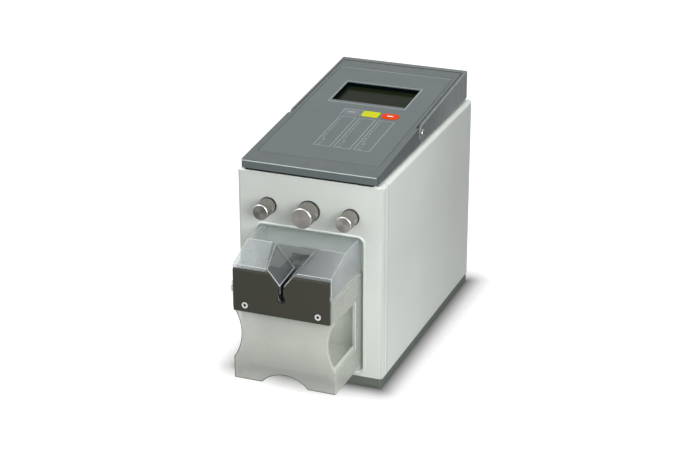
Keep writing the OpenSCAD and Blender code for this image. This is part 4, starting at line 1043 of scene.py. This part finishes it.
def print_key_marks():
    """A plain bar on each of the outer keys."""
    for name, body, bar, finish in (
        ("grey_key_mark", "left_button", GREY_KEY_BAR, PRINT_LIGHT),
        ("red_key_mark", "right_button", RED_KEY_BAR, PRINT_WHITE),
    ):
        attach(printed(name, finish, [rect(*bar)], KEY_PRINT_RISE), body)


def glow_floor(look):
    """Painted shadow: darkens the floor's colour and glow at the machine's foot, and lifts it to white for
    the camera further out.
    """
    low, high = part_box("base_plinth")
    place = look.place_axes()
    squares = []
    for axis, start, end in (("X", low.x, high.x), ("Y", low.y, high.y)):
        from_middle = look.maths("SUBTRACT", place[axis], (start + end) / 2)
        out = look.maths("SUBTRACT", look.maths("ABSOLUTE", from_middle), (end - start) / 2)
        squares.append(look.maths("POWER", look.maths("MAXIMUM", out, 0.0), 2.0))
    away = look.maths("SQRT", look.maths("ADD", *squares))
    look.scale_colour(look.spread(away, CONTACT_SHADE, 1.0, 0.0, CONTACT_REACH))
    level = look.spread(away, *FLOOR_GLOW, 0.0, GLOW_REACH)
    seen = look.node("ShaderNodeLightPath").outputs["Is Camera Ray"]
    look.shader.inputs["Emission Color"].default_value = (1, 1, 1, 1)
    look.feed(look.shader.inputs["Emission Strength"], look.maths("MULTIPLY", level, seen))


def place_floor():
    """Pale paper floor."""
    data = bpy.data.meshes.new("floor")
    corners = [(x * FLOOR_HALF, y * FLOOR_HALF, 0) for x, y in ((-1, -1), (1, -1), (1, 1), (-1, 1))]
    data.from_pydata(corners, [], [(0, 1, 2, 3)])
    floor = bpy.data.objects.new("floor", data)
    bpy.context.scene.collection.objects.link(floor)
    look = Look("floor_paper", srgb(188, 188, 188), 0.9, specular=0.0)
    look.vary_colour(400 * MM, 0.004)
    glow_floor(look)
    data.materials.append(look.material)


def light_world():
    """White for what is seen straight, in gloss or through clear plastic; else soft light from all round."""
    world = bpy.data.worlds.new("studio")
    bpy.context.scene.world = world
    world.use_nodes = True
    tree = world.node_tree
    tree.nodes.clear()
    link = tree.links.new
    path = tree.nodes.new("ShaderNodeLightPath")
    seen = path.outputs["Is Camera Ray"]
    for ray in ("Is Transmission Ray", "Is Glossy Ray"):
        either = tree.nodes.new("ShaderNodeMath")
        either.operation = "MAXIMUM"
        link(seen, either.inputs[0])
        link(path.outputs[ray], either.inputs[1])
        seen = either.outputs[0]
    direction = tree.nodes.new("ShaderNodeTexCoord")
    lean = tree.nodes.new("ShaderNodeVectorMath")
    lean.operation = "DOT_PRODUCT"
    link(direction.outputs["Generated"], lean.inputs[0])
    lean.inputs[1].default_value = WORLD_LEAN_TO
    level = tree.nodes.new("ShaderNodeMapRange")
    link(lean.outputs["Value"], level.inputs["Value"])
    level.inputs["From Min"].default_value = -1
    level.inputs["From Max"].default_value = 1
    level.inputs["To Min"].default_value = WORLD_FILL - WORLD_LEAN
    level.inputs["To Max"].default_value = WORLD_FILL + WORLD_LEAN
    strength = tree.nodes.new("ShaderNodeMix")
    link(seen, strength.inputs["Factor"])
    link(level.outputs[0], strength.inputs[2])
    strength.inputs[3].default_value = 1.0
    background = tree.nodes.new("ShaderNodeBackground")
    link(strength.outputs[0], background.inputs["Strength"])
    background.inputs["Color"].default_value = (1, 1, 1, 1)
    output = tree.nodes.new("ShaderNodeOutputWorld")
    link(background.outputs[0], output.inputs["Surface"])


def lamp(name, place, size, power):
    """A soft square lamp that the camera doesn't see."""
    data = bpy.data.lights.new(name, "AREA")
    data.size = size
    data.energy = power
    made = bpy.data.objects.new(name, data)
    made.location = place
    aim = Vector(LAMP_AIM) - Vector(place)
    made.rotation_euler = aim.to_track_quat("-Z", "Y").to_euler()
    made.visible_camera = False
    bpy.context.scene.collection.objects.link(made)


def place_camera():
    """The photograph's camera."""
    data = bpy.data.cameras.new("camera")
    data.sensor_width = SENSOR_WIDTH
    data.lens = LENS
    data.clip_end = 20
    camera = bpy.data.objects.new("camera", data)
    camera.location = CAMERA_PLACE
    camera.rotation_euler = (math.pi / 2 - CAMERA_PITCH, 0, CAMERA_YAW)
    bpy.context.scene.collection.objects.link(camera)
    bpy.context.scene.camera = camera


dress_nodes()
for dial in ("left", "centre", "right"):
    knurled_dial(dial)
    set_screw_rim(dial)
print_panel()
print_key_marks()
hood_edges()
tray_edges()
handle_edges()
console_edge_highlight()
console_gap_shade()
screw_socket_shade()
place_floor()
light_world()
for lamp_name, (lamp_place, lamp_size, lamp_power) in LAMPS.items():
    lamp(lamp_name, lamp_place, lamp_size, lamp_power)
place_camera()
bpy.context.scene.view_settings.view_transform = "Standard"
